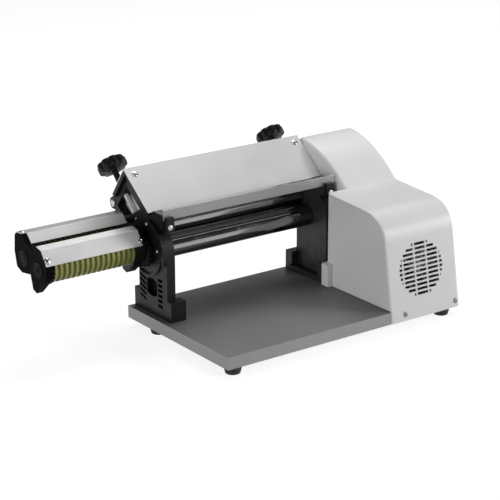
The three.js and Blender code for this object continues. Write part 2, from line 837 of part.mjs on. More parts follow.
// Sheet cover with an end cheek inside each upright
function build_cover() {
  const span = [left_outer - cover_overhang, tower_left - cover_tower_gap];
  const sheet = prism('x', band(skin, 0, -cover_sheet), span);
  const [front, peak, rear] = under_skin(cover_sheet / 2);
  const roller_room = roller_radius + cheek_roller_gap;
  const cheek_floor = lower_axis.y + cheek_floor_rise;
  const cheek_outline = [
    front.clone().lerp(peak, gable_front_share),
    peak,
    rear,
    point(rear.x, cheek_floor),
    point(upper_axis.x, cheek_floor),
  ];
  const cheeks = [left_inner + cheek_inset, right_inner - cheek_inset - cover_sheet].map((x) => {
    const cheek_span = [x, x + cover_sheet];
    return cut(
      prism('x', cheek_outline, cheek_span),
      hole_x(on_guide(-gap_close), cheek_span, roller_room, 24),
      hole_x(on_guide(gap_open), cheek_span, roller_room, 24),
      hole_x(from_roller(cheek_hole_reach, cheek_hole_rise), cheek_span, cheek_hole_radius, 20),
    );
  });
  const stems = [left_middle, right_middle].map((x) => (
    hole(place(x, on_guide(guide_end)), place(x, on_guide(knob_distance)), screw_radius + running_gap)));
  add_part('roller_cover', cut(
    joined(sheet, ...cheeks),
    ...stems,
    ...cover_screws.map((spot) => screw_hole(spot, cover_screw_way)),
  ), 'light_paint');
  cover_screws.forEach((spot, i) => screw(`cover_screw_${sides[i]}`, spot, cover_screw_way));
}

function build_lip() {
  const lip_span = [left_outer, tower_left - cover_tower_gap];
  const lip_y = [lip_front, lip_front + lip_sheet];
  add_part('front_lip', box(lip_span, lip_y, [lip_bottom, lip_bottom + lip_height]), 'grey_paint');
  const clamp_y = [clamp_front, clamp_front + clamp_depth];
  const clamp_z = [clamp_bottom, clamp_bottom + clamp_height];
  const clamp_spans = [
    [left_outer + clamp_inset, left_inner],
    [right_inner, right_outer - clamp_inset],
  ];
  clamp_spans.forEach((span, i) => {
    const rebate_x = [span[0] - overrun, span[1] + overrun];
    const rebate = box(rebate_x, [lip_front - seat, ear_front], [lip_bottom - seat, lip_bottom + lip_height]);
    const bore = screw_hole(clamp_screws[i], forward, clamp_screw_depth);
    add_part(`lip_clamp_${sides[i]}`, cut(box(span, clamp_y, clamp_z), rebate, bore), 'black_plastic');
    screw(`lip_screw_${sides[i]}`, clamp_screws[i], forward, clamp_screw_depth);
  });
}

// Side outlines of the housing: the low box over the motor and the tower over the roller gears
const below_tray = -2 * housing_rounding;

function box_outline() {
  const front_top = point(housing_front + front_lean, front_height);
  const corner = point(front_top.x + lean_share * (shelf_height - front_height), shelf_height);
  return [
    point(housing_front + lean_share * below_tray, below_tray),
    point(shelf_rear, below_tray),
    point(shelf_rear, shelf_height + shelf_rise),
    ...curve(point(shelf_front, shelf_height), corner, front_top, 8),
  ];
}

// Top of the tower, from its rear over the shoulder and down the slope to the low box
const tower_foot = point(shelf_rear - tower_step, shelf_height + shelf_rise - seat);

function tower_crown() {
  const shoulder = point(tower_rear, tower_top.y - tower_shoulder);
  return [
    ...curve(shoulder, point(tower_rear, tower_top.y), tower_top, 4),
    ...curve(tower_top, tower_slope, tower_foot, 8).slice(1),
  ];
}

function tower_outline() {
  return [
    point(shelf_rear - tower_overlap, below_tray),
    point(housing_rear, below_tray),
    point(housing_rear, bulge_bottom),
    point(tower_rear, bulge_bottom + bulge_slope),
    ...tower_crown(),
    point(shelf_rear - tower_overlap, shelf_height - shelf_rise),
  ];
}

// The tower's left end with its large rounding: the convex outline shrinks towards the end face
const round_steps = 5;

function tower_end(inset) {
  const rounding = tower_rounding - inset;
  const drop = tower_foot.clone().sub(tower_slope).multiplyScalar(tower_overlap / (tower_slope.x - tower_foot.x));
  const outline = new wasm.CrossSection([[
    point(shelf_rear - tower_overlap, -2 * tower_rounding),
    point(tower_rear, -2 * tower_rounding),
    ...tower_crown(),
    tower_foot.clone().add(drop),
  ].map((corner) => [corner.x, corner.y])]);
  const corners = [];
  for (let i = 0; i <= round_steps; i += 1) {
    const angle = (Math.PI / 2) * (i / round_steps);
    const x = tower_left + inset + rounding * (1 - Math.cos(angle));
    const layer = outline.offset(-inset - rounding * (1 - Math.sin(angle)), 'Miter');
    layer.toPolygons().flat().forEach(([y, z]) => {
      corners.push([x, y, z]);
      if (i === round_steps) corners.push([housing_right + overrun, y, z]);
    });
  }
  return wasm.Manifold.hull(corners);
}

function grille_slots() {
  const slots = [];
  const rows = Math.floor((2 * grille_radius - slot_height) / slot_pitch);
  const reach = [housing_front - overrun, housing_front + front_lean + overrun];
  for (let row = 0; row <= rows; row += 1) {
    const rise = (row - rows / 2) * slot_pitch;
    const chord = grille_radius ** 2 - (Math.abs(rise) + slot_height / 2) ** 2;
    const widest = Math.sqrt(Math.max(chord, 0));
    const height = [motor_z + rise - slot_height / 2, motor_z + rise + slot_height / 2];
    for (let column = -2; column <= 2; column += 1) {
      const low = Math.max(column * slot_column_pitch - slot_length / 2, -widest);
      const high = Math.min(column * slot_column_pitch + slot_length / 2, widest);
      if (high - low > slot_shortest) slots.push(box([motor_x + low, motor_x + high], reach, height));
    }
  }
  return slots;
}

function build_housing() {
  const shell = (outline, low) => prism('x', outline, [low, housing_right], housing_rounding);
  const room = (outline, low) => prism(
    'x',
    moved(outline, housing_wall, true),
    [low + housing_wall, housing_right - housing_wall],
    housing_rounding - housing_wall,
  );
  const boss_rear = shelf_rear + boss_rear_gap;
  const boss_bottom = base_top + housing_base_gap;
  const boss_left = box_left - boss_reach;
  const boss = prism('x', [
    point(boss_rear - boss_length, boss_bottom),
    point(boss_rear, boss_bottom),
    point(boss_rear, boss_bottom + boss_height),
    point(boss_rear - boss_length, boss_bottom + boss_height),
  ], [boss_left, box_left + housing_rounding], boss_rounding);

  const tray_y = [tray_notch - seat, base_depth + seat];
  const tray_room = box([boss_left - overrun, base_length + seat], tray_y, [2 * below_tray, boss_bottom]);
  const below_x = [boss_left - overrun, housing_right + overrun];
  const below_y = [housing_front - overrun - front_lean, housing_rear + overrun];
  const below = box(below_x, below_y, [2 * below_tray, housing_hem_gap]);

  const wall_span = [tower_left, tower_left + housing_wall];
  const shaft_room = shaft_radius + shaft_hole_gap;
  const slot_ends = around(shaft_room, 20);
  const upper_slot = prism('x', [
    ...arc(on_guide(gap_open), slot_ends, adjust_angle - Math.PI / 2, Math.PI, 10),
    ...arc(on_guide(-gap_close), slot_ends, adjust_angle + Math.PI / 2, Math.PI, 10),
  ], [wall_span[0] - overrun, wall_span[1] + overrun]);
  const switch_hole = box(
    [housing_right - housing_wall - overrun, housing_right + overrun],
    [switch_y - switch_width / 2 - seat, switch_y + switch_width / 2 + seat],
    [switch_z - switch_height / 2 - seat, switch_z + switch_height / 2 + seat],
  );
  const inlet_x = housing_right - inlet_inset;
  const inlet_z = base_top + inlet_rise;
  const inlet_hole = box(
    [inlet_x - inlet_width / 2 - seat, inlet_x + inlet_width / 2 + seat],
    [housing_rear - housing_wall - overrun, housing_rear + overrun],
    [inlet_z - inlet_height / 2 - seat, inlet_z + inlet_height / 2 + seat],
  );
  const tower_start = tower_left - 2 * tower_rounding;
  const tower = shell(tower_outline(), tower_start).intersect(tower_end(0));
  const tower_room = room(tower_outline(), tower_start).intersect(tower_end(housing_wall));
  const shells = joined(shell(box_outline(), box_left), tower, boss);
  add_part('motor_housing', cut(
    shells,
    room(box_outline(), box_left),
    tower_room,
    tray_room,
    below,
    hole_x(lower_axis, wall_span, shaft_room),
    upper_slot,
    switch_hole,
    inlet_hole,
    ...grille_slots(),
    ...skirt_screws.map((spot) => screw_hole(spot, skirt_way, skirt_screw_bite)),
  ), 'light_paint');
  skirt_screws.forEach((spot, i) => screw(`skirt_screw_${sides[i]}`, spot, skirt_way, skirt_screw_bite));
}

// Motor with its fan, cradle, gearbox and gearbox foot
function build_motor() {
  const spot = (y) => new THREE.Vector3(motor_x, y, motor_z);
  const motor_rear = motor_front + motor_length;
  const profile = [
    point(0, motor_front),
    point(motor_radius - motor_rounding, motor_front),
    point(motor_radius, motor_front + motor_rounding),
    point(motor_radius, motor_rear - motor_rounding),
    point(motor_radius - motor_rounding, motor_rear),
    point(0, motor_rear),
  ];
  const can = solid(new THREE.LatheGeometry(profile, 32).translate(motor_x, 0, motor_z));
  const shaft_bore = (low, high) => hole(spot(low), spot(high), motor_shaft_radius + running_gap);
  add_part('motor_body', cut(can, shaft_bore(motor_front - overrun, motor_rear + overrun)), 'dark_metal');

  const fan_rear = motor_front - fan_gap;
  const fan_front = fan_rear - fan_depth;
  const shaft_end = gearbox_front + input_shaft_depth;
  add_part('motor_shaft', rod(spot(fan_front - shaft_overhang), spot(shaft_end), motor_shaft_radius), 'steel');

  const hub = rod(spot(fan_front), spot(fan_rear), fan_hub_radius, 24);
  const blade_root = fan_hub_radius - fan_blade;
  const fan_pitch = full_turn * fan_turn_share;
  const blade_width = (fan_depth - fan_blade) / Math.cos(fan_pitch);
  const blades = Array.from({ length: fan_blades }, (_, i) => {
    const blade = new THREE.BoxGeometry(fan_radius - blade_root, blade_width, fan_blade);
    blade.translate((fan_radius + blade_root) / 2, 0, 0);
    blade.rotateX(fan_pitch);
    blade.rotateY((2 * Math.PI * i) / fan_blades);
    return solid(blade.translate(motor_x, (fan_front + fan_rear) / 2, motor_z));
  });
  const fan_bore = hole(spot(fan_front - overrun), spot(fan_rear + overrun), motor_shaft_radius + seat);
  add_part('cooling_fan', cut(joined(hub, ...blades), fan_bore), 'black_plastic');

  const motor_middle = motor_front + motor_length / 2;
  const cradle_x = [motor_x - cradle_width / 2, motor_x + cradle_width / 2];
  const cradle_y = [motor_middle - cradle_length / 2, motor_middle + cradle_length / 2];
  const cradle_hollow = box(
    [cradle_x[0] + cradle_wall, cradle_x[1] - cradle_wall],
    [cradle_y[0] - overrun, cradle_y[1] + overrun],
    [floor + cradle_wall, motor_z - motor_radius - cradle_wall],
  );
  const can_room = hole(spot(cradle_y[0] - overrun), spot(cradle_y[1] + overrun), motor_radius + seat, 32);
  const cradle = box(cradle_x, cradle_y, [floor, motor_z - cradle_drop]);
  add_part('motor_cradle', cut(cradle, can_room, cradle_hollow), 'grey_paint');

  const case_y = [gearbox_front, gearbox_front + gearbox_length];
  const case_z = [motor_z - gearbox_height / 2, motor_z + gearbox_height / 2];
  const case_span = [gearbox_left, gearbox_left + gearbox_width];
  const case_outline = [
    point(case_y[0], case_z[0]),
    point(case_y[1], case_z[0]),
    point(case_y[1], case_z[1]),
    point(case_y[0], case_z[1]),
  ];
  const output_end = gearbox_left + output_shaft_depth;
  const output_bore = hole(
    place(gearbox_left - overrun, output_axis),
    place(output_end + seat, output_axis),
    output_radius + running_gap,
  );
  add_part('gearbox', cut(
    prism('x', case_outline, case_span, gearbox_rounding),
    shaft_bore(gearbox_front - overrun, shaft_end + seat),
    output_bore,
  ), 'dark_metal');

  const foot = box(case_span, case_y, [floor, case_z[0] - seat]);
  const foot_hollow = box(
    [case_span[0] + cradle_wall, case_span[1] - cradle_wall],
    [case_y[0] - overrun, case_y[1] + overrun],
    [floor + cradle_wall, case_z[0] - seat - cradle_wall],
  );
  add_part('gearbox_foot', cut(foot, foot_hollow), 'grey_paint');

  const output_start = pulley_left - shaft_overhang;
  add_part('output_shaft', rod_x(output_axis, [output_start, output_end], output_radius), 'steel');
}

function pulley(at, radius, shaft) {
  const lip_radius = radius + pulley_lip;
  const blank = turned_x([
    [pulley_left, lip_radius],
    [pulley_left + pulley_flange, lip_radius],
    [pulley_left + pulley_flange, radius],
    [pulley_right - pulley_flange, radius],
    [pulley_right - pulley_flange, lip_radius],
    [pulley_right, lip_radius],
  ], at, 32);
  return cut(blank, hole_x(at, [pulley_left, pulley_right], shaft + seat, 18));
}

// Loop of the belt round both pulleys, at a height above their grooves
function belt_loop(height) {
  const line = lower_axis.clone().sub(output_axis);
  const small = drive_pulley_radius + height;
  const large = driven_pulley_radius + height;
  const lead = Math.acos((small - large) / line.length());
  const facing = line.angle();
  return [
    ...arc(output_axis, around(small, 24), facing + lead, 2 * (Math.PI - lead), 12),
    ...arc(lower_axis, around(large, 32), facing - lead, 2 * lead, 20),
  ];
}

function build_belt_drive() {
  add_part('drive_pulley', pulley(output_axis, drive_pulley_radius, output_radius), 'steel');
  add_part('driven_pulley', pulley(lower_axis, driven_pulley_radius, shaft_radius), 'steel');
  const span = [pulley_left + pulley_flange + seat, pulley_right - pulley_flange - seat];
  const inside = prism('x', belt_loop(seat), [span[0] - overrun, span[1] + overrun]);
  add_part('drive_belt', cut(prism('x', belt_loop(seat + belt_thickness), span), inside), 'rubber');
}

// End plates of the cutter: a lobe round each roller and a neck between them.
// The covers lie on the sloping tops of the lobes.
const front_lobe_shares = [[-0.65, 0], [-0.49, -0.46], [0.17, -1.06], [0.46, -0.96]];
const rear_lobe_shares = [[0.18, -0.66], [0.59, -0.49], [0.75, 0.17], [0.68, 0.88]];
const front_cover_shares = [[-0.68, 0.32], [-0.28, 0.9], [0.09, 0.985]];
const rear_cover_shares = [[-0.3, 0.68], [0.06, 1.03], [0.56, 1]];
const slot_shares = [[0.36, 1.05], [0.6, 0.76]];
const spacer_shares = [[0.02, 0.77], [0.25, -0.87]];
const lobe_reach = ring_radius + cutter_lobe_margin;
const lobe_points = (centre, shares) => shares.map(([y_share, z_share]) => (
  point(centre.x + y_share * lobe_reach, centre.y + z_share * lobe_reach)));
const cutter_tops = {
  front: lobe_points(front_cutter, front_cover_shares),
  rear: lobe_points(rear_cutter, rear_cover_shares),
};

function cutter_outline() {
  const neck = front_cutter.clone().add(point(cutter_neck_depth, -cutter_neck_drop));
  return [
    ...lobe_points(front_cutter, front_lobe_shares),
    neck,
    ...lobe_points(rear_cutter, rear_lobe_shares),
    ...[...cutter_tops.rear].reverse(),
    ...lobe_points(front_cutter, slot_shares).reverse(),
    ...[...cutter_tops.front].reverse(),
  ];
}

// Each cover has a screw near its outer edge, over each end plate
function cutter_screws(plate_spans) {
  const spots = [];
  Object.entries(cutter_tops).forEach(([end, path]) => {
    const surface = moved(path, seat + cutter_sheet);
    const [edge, bend] = end === 'front' ? [surface[0], surface[1]] : [surface[2], surface[1]];
    const inwards = bend.clone().sub(edge).normalize();
    const normal = end === 'front' ? point(-inwards.y, inwards.x) : point(inwards.y, -inwards.x);
    const spot = edge.clone().addScaledVector(inwards, cutter_screw_rise);
    Object.entries(plate_spans).forEach(([side, [low, high]]) => {
      const way = place(0, normal);
      spots.push({ name: `cutter_screw_${end}_${side}`, end, side, way, at: place((low + high) / 2, spot) });
    });
  });
  return spots;
}

// Ring profile of a cutter roller, between its two shaft ends
function ring_profile([shaft_left, shaft_right], [body_left, body_right], first_ring, pitch, count) {
  const root = ring_radius - ring_depth;
  const width = pitch / 2 - ring_side_gap;
  const profile = [[shaft_left, cutter_shaft_radius], [body_left, cutter_shaft_radius]];
  if (first_ring > body_left) profile.push([body_left, root]);
  for (let i = 0; i < count; i += 1) {
    const low = first_ring + i * pitch;
    if (low > body_left) profile.push([low, root]);
    profile.push([low, ring_radius], [low + width, ring_radius]);
    if (low + width < body_right) profile.push([low + width, root]);
  }
  const last = Math.max(body_right, profile[profile.length - 1][0]);
  if (last > profile[profile.length - 1][0]) profile.push([last, root]);
  return [...profile, [last, cutter_shaft_radius], [shaft_right, cutter_shaft_radius]];
}

function build_cutter() {
  const plate_spans = {
    left: [cutter_left, cutter_left_inner],
    right: [cutter_right_inner, cutter_right],
  };
  const screws = cutter_screws(plate_spans);
  const screw_holes = (key, value) => screws
    .filter((spot) => spot[key] === value)
    .map((spot) => screw_hole(spot.at, spot.way));
  const spacer_span = [cutter_right - overrun, left_outer - seat];
  const spacers = lobe_points(front_cutter, spacer_shares).map((spot) => (
    rod_x(spot, spacer_span, spacer_radius, 16)));
  const plates = {
    left: prism('x', cutter_outline(), plate_spans.left),
    right: joined(prism('x', cutter_outline(), plate_spans.right), ...spacers),
  };
  Object.entries(plates).forEach(([side, plate]) => {
    add_part(`cutter_plate_${side}`, cut(
      plate,
      hole_x(front_cutter, plate_spans[side], cutter_shaft_radius + running_gap),
      hole_x(rear_cutter, plate_spans[side], cutter_shaft_radius + running_gap),
      ...screw_holes('side', side),
    ), 'black_plastic');
  });
  // The rear cover stops short of the left plate but for a tab at its screw
  const cover_spans = {
    front: [cutter_left + front_cover_left_inset, cutter_right - front_cover_right_inset],
    rear: [cutter_left + front_cover_left_inset, cutter_right + rear_cover_overhang],
  };
  const rear_edge = cutter_tops.rear[2];
  const beside_tab = box(
    [cutter_left - overrun, cutter_left + rear_cover_left_inset],
    [front_cutter.x, rear_edge.x - rear_cover_tab],
    [front_cutter.y, rear_edge.y + lobe_reach],
  );
  Object.entries(cutter_tops).forEach(([end, path]) => {
    const sheet = prism('x', band(path, seat, seat + cutter_sheet), cover_spans[end]);
    const cover = end === 'rear' ? cut(sheet, beside_tab) : sheet;
    add_part(`cutter_cover_${end}`, cut(cover, ...screw_holes('end', end)), 'grey_paint');
  });
  screws.forEach((spot) => screw(spot.name, spot.at, spot.way));

  // Rollers with interleaved rings, and the gears that keep them in step
  const body_left = cutter_left_inner + cutter_end_gap;
  const body_right = cutter_right_inner - cutter_end_gap;
  const pair_span = [body_left, body_left + pair_gear_width];
  const rings_left = pair_span[1] + pair_gear_gap;
  const pitch = (body_right - rings_left + ring_side_gap) / (ring_count - 0.5);
  const body = [rings_left, body_right];
  const shaft_left = cutter_left + cutter_shaft_inset;
  const front_shaft = [shaft_left, cutter_right - cutter_shaft_inset];
  const rear_shaft = [shaft_left, transfer_right + shaft_overhang];
  const front_rings = ring_profile(front_shaft, body, rings_left, pitch, ring_count);
  const rear_rings = ring_profile(rear_shaft, body, rings_left + pitch / 2, pitch, ring_count - 1);
  add_part('cutter_roller_front', turned_x(front_rings, front_cutter, 16), 'olive_plastic');
  add_part('cutter_roller_rear', turned_x(rear_rings, rear_cutter, 16), 'olive_plastic');

  const [front_gear, rear_gear] = gear_pair(
    { at: front_cutter, teeth: pair_gear_teeth, shaft: cutter_shaft_radius },
    { at: rear_cutter, teeth: pair_gear_teeth, shaft: cutter_shaft_radius },
    pair_span,
  );
  add_part('cutter_gear_front', front_gear, 'steel');
  add_part('cutter_gear_rear', rear_gear, 'steel');
  const [output_gear, input_gear] = gear_pair(
    { at: lower_axis, teeth: output_gear_teeth, shaft: shaft_radius },
    { at: rear_cutter, teeth: input_gear_teeth, shaft: cutter_shaft_radius },
    [transfer_left, transfer_right],
  );
  add_part('output_gear', output_gear, 'steel');
  add_part('cutter_input_gear', input_gear, 'steel');
}

// Rocker switch in the right wall of the housing
function build_switch() {
  const face = housing_right + seat;
  const outer = face + bezel_thickness;
  const half_width = switch_width / 2;
  const half_height = switch_height / 2;
  const frame = (x_span, margin) => box(
    x_span,
    [switch_y - half_width - margin, switch_y + half_width + margin],
    [switch_z - half_height - margin, switch_z + half_height + margin],
  );
  const bezel = frame([face, outer], bezel_margin);
  const barrel = frame([face - switch_depth, outer], 0);
  const pocket = frame([face - switch_depth + switch_wall, outer + overrun], -switch_wall);
  add_part('switch_body', cut(joined(bezel, barrel), pocket), 'black_plastic');

  const half_rocker = half_height - switch_wall - rocker_end_gap;
  const rocker_y = half_width - switch_wall - rocker_side_gap;
  add_part('switch_rocker', prism('y', [
    point(outer - rocker_depth, switch_z - half_rocker),
    point(outer + rocker_rise, switch_z - half_rocker),
    point(outer + rocker_rise - rocker_dip, switch_z),
    point(outer + rocker_rise, switch_z + half_rocker),
    point(outer - rocker_depth, switch_z + half_rocker),
    point(outer - 2 * rocker_depth, switch_z),
  ], [switch_y - rocker_y, switch_y + rocker_y]), 'black_plastic');
}

// Three-pin power inlet in the rear wall
function build_inlet() {
  const x = housing_right - inlet_inset;
  const z = base_top + inlet_rise;
  const face = housing_rear + seat;
  const outer = face + bezel_thickness;
  const frame = (y_span, margin) => box(
    [x - inlet_width / 2 - margin, x + inlet_width / 2 + margin],
    y_span,
    [z - inlet_height / 2 - margin, z + inlet_height / 2 + margin],
  );
  const cavity_floor = face - inlet_depth + inlet_wall;
  const flange = frame([face, outer], bezel_margin);
  const barrel = frame([face - inlet_depth, outer], 0);
  const cavity = frame([cavity_floor, outer + overrun], -inlet_wall);
  const pins = [-1, 0, 1].map((side) => {
    const pin_x = x + side * pin_spacing;
    const pin_z = z + (side === 0 ? pin_step : -pin_step);
    return box(
      [pin_x - pin_thickness / 2, pin_x + pin_thickness / 2],
      [cavity_floor - inlet_wall / 2, cavity_floor + pin_length],
      [pin_z - pin_width / 2, pin_z + pin_width / 2],
    );
  });
  add_part('power_inlet', joined(cut(joined(flange, barrel), cavity), ...pins), 'black_plastic');
}

build_base();
build_upright('left_upright', left_outer, 1, cover_screws[0], clamp_screws[0]);
build_upright('right_upright', right_outer, -1, cover_screws[1], clamp_screws[1]);
build_bush('lower_bush_left', [left_outer, left_inner]);
build_bush('lower_bush_right', [right_inner, right_outer]);
build_tie_rod();
build_rollers();
build_adjuster('left', left_outer, 1);
build_adjuster('right', right_outer, -1);
build_cover();
build_lip();
build_housing();
build_motor();
build_belt_drive();
build_cutter();
build_switch();
build_inlet();

// The origin is below the middle of the machine, on the surface that it stands on
const bounds = new THREE.Box3().setFromObject(machine);
const centre = bounds.getCenter(new THREE.Vector3());
machine.position.set(-centre.x, -centre.y, -bounds.min.z);
const pasta_maker = new THREE.Group();
pasta_maker.add(machine);

export default pasta_maker;
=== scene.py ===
"""Looks of the electric pasta maker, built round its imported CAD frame. Lengths in the build code are
millimetres from the front left bottom corner of the tray: X along the rollers, Y to the rear, Z up."""
import math
import bmesh
import bpy
import numpy as np
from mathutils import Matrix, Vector


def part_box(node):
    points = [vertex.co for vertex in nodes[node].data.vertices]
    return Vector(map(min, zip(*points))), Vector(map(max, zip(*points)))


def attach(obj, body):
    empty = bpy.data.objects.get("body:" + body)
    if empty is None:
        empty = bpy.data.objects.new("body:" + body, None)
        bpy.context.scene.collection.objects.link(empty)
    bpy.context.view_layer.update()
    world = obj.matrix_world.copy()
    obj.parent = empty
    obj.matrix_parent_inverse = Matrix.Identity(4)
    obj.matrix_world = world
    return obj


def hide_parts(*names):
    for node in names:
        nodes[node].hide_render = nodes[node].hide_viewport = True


MM = 0.001
MM_PER_M = 1000

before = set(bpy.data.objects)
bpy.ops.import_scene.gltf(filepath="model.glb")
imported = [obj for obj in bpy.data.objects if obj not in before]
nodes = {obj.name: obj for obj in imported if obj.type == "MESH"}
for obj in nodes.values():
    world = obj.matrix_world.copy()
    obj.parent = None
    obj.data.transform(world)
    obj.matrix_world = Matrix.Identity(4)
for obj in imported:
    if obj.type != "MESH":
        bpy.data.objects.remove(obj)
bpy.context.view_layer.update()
scene = bpy.context.scene
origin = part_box("base_tray")[0]


def P(x, y, z):
    """Millimetres from the tray's corner as a point of the part's frame, in metres."""
    return origin + Vector((x, y, z)) * MM


def back(point):
    """A point of the part's frame as millimetres from the tray's corner."""
    return (Vector(point) - origin) * MM_PER_M


def node_box(name):
    low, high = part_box(name)
    return back(low), back(high)


def middle(name):
    low, high = node_box(name)
    return (low + high) / 2


# ---------------------------------------------------------------- camera, at the photograph's angle
cam_data = bpy.data.cameras.new("camera")
cam_data.lens = 125.92
cam_data.sensor_width = 36
cam_data.clip_start = 0.05
cam_data.clip_end = 200
camera = bpy.data.objects.new("camera", cam_data)
scene.collection.objects.link(camera)
yaw, pitch = 0.63253, 0.3300
look = Vector((math.sin(yaw) * math.cos(pitch), math.cos(yaw) * math.cos(pitch), -math.sin(pitch)))
camera.location = P(-1801.4, -2529.1, 1308.9)
camera.rotation_mode = "QUATERNION"
camera.rotation_quaternion = look.to_track_quat("-Z", "Y")
scene.camera = camera

# ---------------------------------------------------------------- studio
scene.view_settings.view_transform = "Standard"


def tree_of(owner):
    owner.use_nodes = True
    tree = owner.node_tree
    tree.nodes.clear()
    return tree


def link(tree, giver, output, taker, input_name):
    tree.links.new(giver.outputs[output], taker.inputs[input_name])


def color_socket(sockets, name="Result"):
    """The colour socket of that name on a mix node, which has one for each kind of data."""
    return next(s for s in sockets if s.name == name and s.type == "RGBA")


world = bpy.data.worlds.new("studio")
scene.world = world
tree = tree_of(world)
coord = tree.nodes.new("ShaderNodeTexCoord")
split = tree.nodes.new("ShaderNodeSeparateXYZ")
ramp = tree.nodes.new("ShaderNodeValToRGB")
sky = tree.nodes.new("ShaderNodeBackground")
surface = tree.nodes.new("ShaderNodeOutputWorld")
link(tree, coord, "Generated", split, 0)
shift = tree.nodes.new("ShaderNodeMapRange")
shift.inputs["From Min"].default_value = -1
shift.inputs["From Max"].default_value = 1
link(tree, split, "Z", shift, "Value")
link(tree, shift, "Result", ramp, "Fac")
# (height, brightness): 0 is straight down, 0.5 the horizon and 1 straight up. The polished steel mirrors
# the dark band above the horizon.
SKY = ((0.0, 0.9), (0.575, 0.9), (0.6, 0.12), (0.63, 0.05), (0.9, 0.05), (0.96, 0.35), (1.0, 0.45))
stops = ramp.color_ramp.elements
for height, level in SKY[1:-1]:
    stops.new(height)
for stop, (height, level) in zip(stops, SKY):
    stop.position, stop.color = height, (level, level, level, 1)
link(tree, ramp, "Color", sky, "Color")
link(tree, sky, "Background", surface, "Surface")


def lamp(name, at, aim, width, height, power):
    data = bpy.data.lights.new(name, "AREA")
    data.shape, data.size, data.size_y, data.energy = "RECTANGLE", width, height, power
    obj = bpy.data.objects.new(name, data)
    scene.collection.objects.link(obj)
    obj.location = at
    obj.rotation_mode = "QUATERNION"
    obj.rotation_quaternion = (Vector(aim) - Vector(at)).to_track_quat("-Z", "Y")


lamp("lamp_top", (1.3, 1.2, 2.9), (0.1, 0, 0.1), 1.6, 1.6, 54)
lamp("lamp_front", (3.9, -2.9, 1.5), (0.1, 0, 0.15), 1.5, 1.4, 158)
lamp("lamp_left", (-3.4, -0.7, 0.7), (0, 0, 0.15), 1.6, 1.2, 36)

# The floor is white to the camera and in reflections, with a share of matte that keeps the object's
# shadow, and a dim grey to all other light.
FLOOR_HALF = 40
FLOOR_DIM = (0.3, 0.3, 0.3, 1)
FLOOR_WHITE = (1, 1, 1, 1)
FLOOR_GLOW = 1.16
GLOW_SHARE = 0.75
corners = [(x * FLOOR_HALF, y * FLOOR_HALF, 0) for x, y in ((-1, -1), (1, -1), (1, 1), (-1, 1))]
floor_mesh = bpy.data.meshes.new("floor")
floor_mesh.from_pydata(corners, [], [(0, 1, 2, 3)])
floor = bpy.data.objects.new("floor", floor_mesh)
scene.collection.objects.link(floor)
floor_paint = bpy.data.materials.new("floor")
tree = tree_of(floor_paint)
path = tree.nodes.new("ShaderNodeLightPath")
direct = tree.nodes.new("ShaderNodeMath")
direct.operation = "MAXIMUM"
link(tree, path, "Is Camera Ray", direct, 0)
link(tree, path, "Is Glossy Ray", direct, 1)
seen = tree.nodes.new("ShaderNodeMath")
seen.operation = "MAXIMUM"
link(tree, direct, 0, seen, 0)
link(tree, path, "Is Transmission Ray", seen, 1)
tone = tree.nodes.new("ShaderNodeMix")
tone.data_type = "RGBA"
color_socket(tone.inputs, "A").default_value = FLOOR_DIM
color_socket(tone.inputs, "B").default_value = FLOOR_WHITE
link(tree, seen, 0, tone, "Factor")
matte = tree.nodes.new("ShaderNodeBsdfDiffuse")
tree.links.new(color_socket(tone.outputs), matte.inputs["Color"])
glow = tree.nodes.new("ShaderNodeEmission")
glow.inputs["Color"].default_value = FLOOR_WHITE
glow.inputs["Strength"].default_value = FLOOR_GLOW
share = tree.nodes.new("ShaderNodeMath")
share.operation = "MULTIPLY"
share.inputs[1].default_value = GLOW_SHARE
link(tree, seen, 0, share, 0)
mixed = tree.nodes.new("ShaderNodeMixShader")
link(tree, share, 0, mixed, 0)
link(tree, matte, 0, mixed, 1)
link(tree, glow, 0, mixed, 2)
surface = tree.nodes.new("ShaderNodeOutputMaterial")
link(tree, mixed, 0, surface, "Surface")
floor_mesh.materials.append(floor_paint)


# ---------------------------------------------------------------- materials
def grey(value):
    """A grey or a colour given as 0 to 255 display values, in linear light."""
    values = (value,) * 3 if isinstance(value, (int, float)) else value
    return tuple(((v / 255 + 0.055) / 1.055) ** 2.4 if v > 10 else v / 255 / 12.92 for v in values)


def scaled(color, share):
    """The colour lighter or darker by a share, with its alpha."""
    return tuple(min(1.0, c * share) for c in color) + (1,)


# the normal's share over which the painted shade of upward faces or the painted light of faces square to the
# rollers comes in
FACING = (0.75, 0.98)       # share of the normal along the axis, over which the other colour comes in
WORN_EDGE = (0.985, 0.9)    # agreement of rounded and flat normal, from no wear to full wear
WORN_PATCHES, WORN_PATCH_SIZE, WORN_MOST = (0.45, 0.62), 9, 0.8
SCRATCHES, SCRATCH_SIZE = (0.62, 0.7), 26
ROUGH_PATCH_SHARE = 0.6     # size of the patches of roughness, as a share of cloud_size


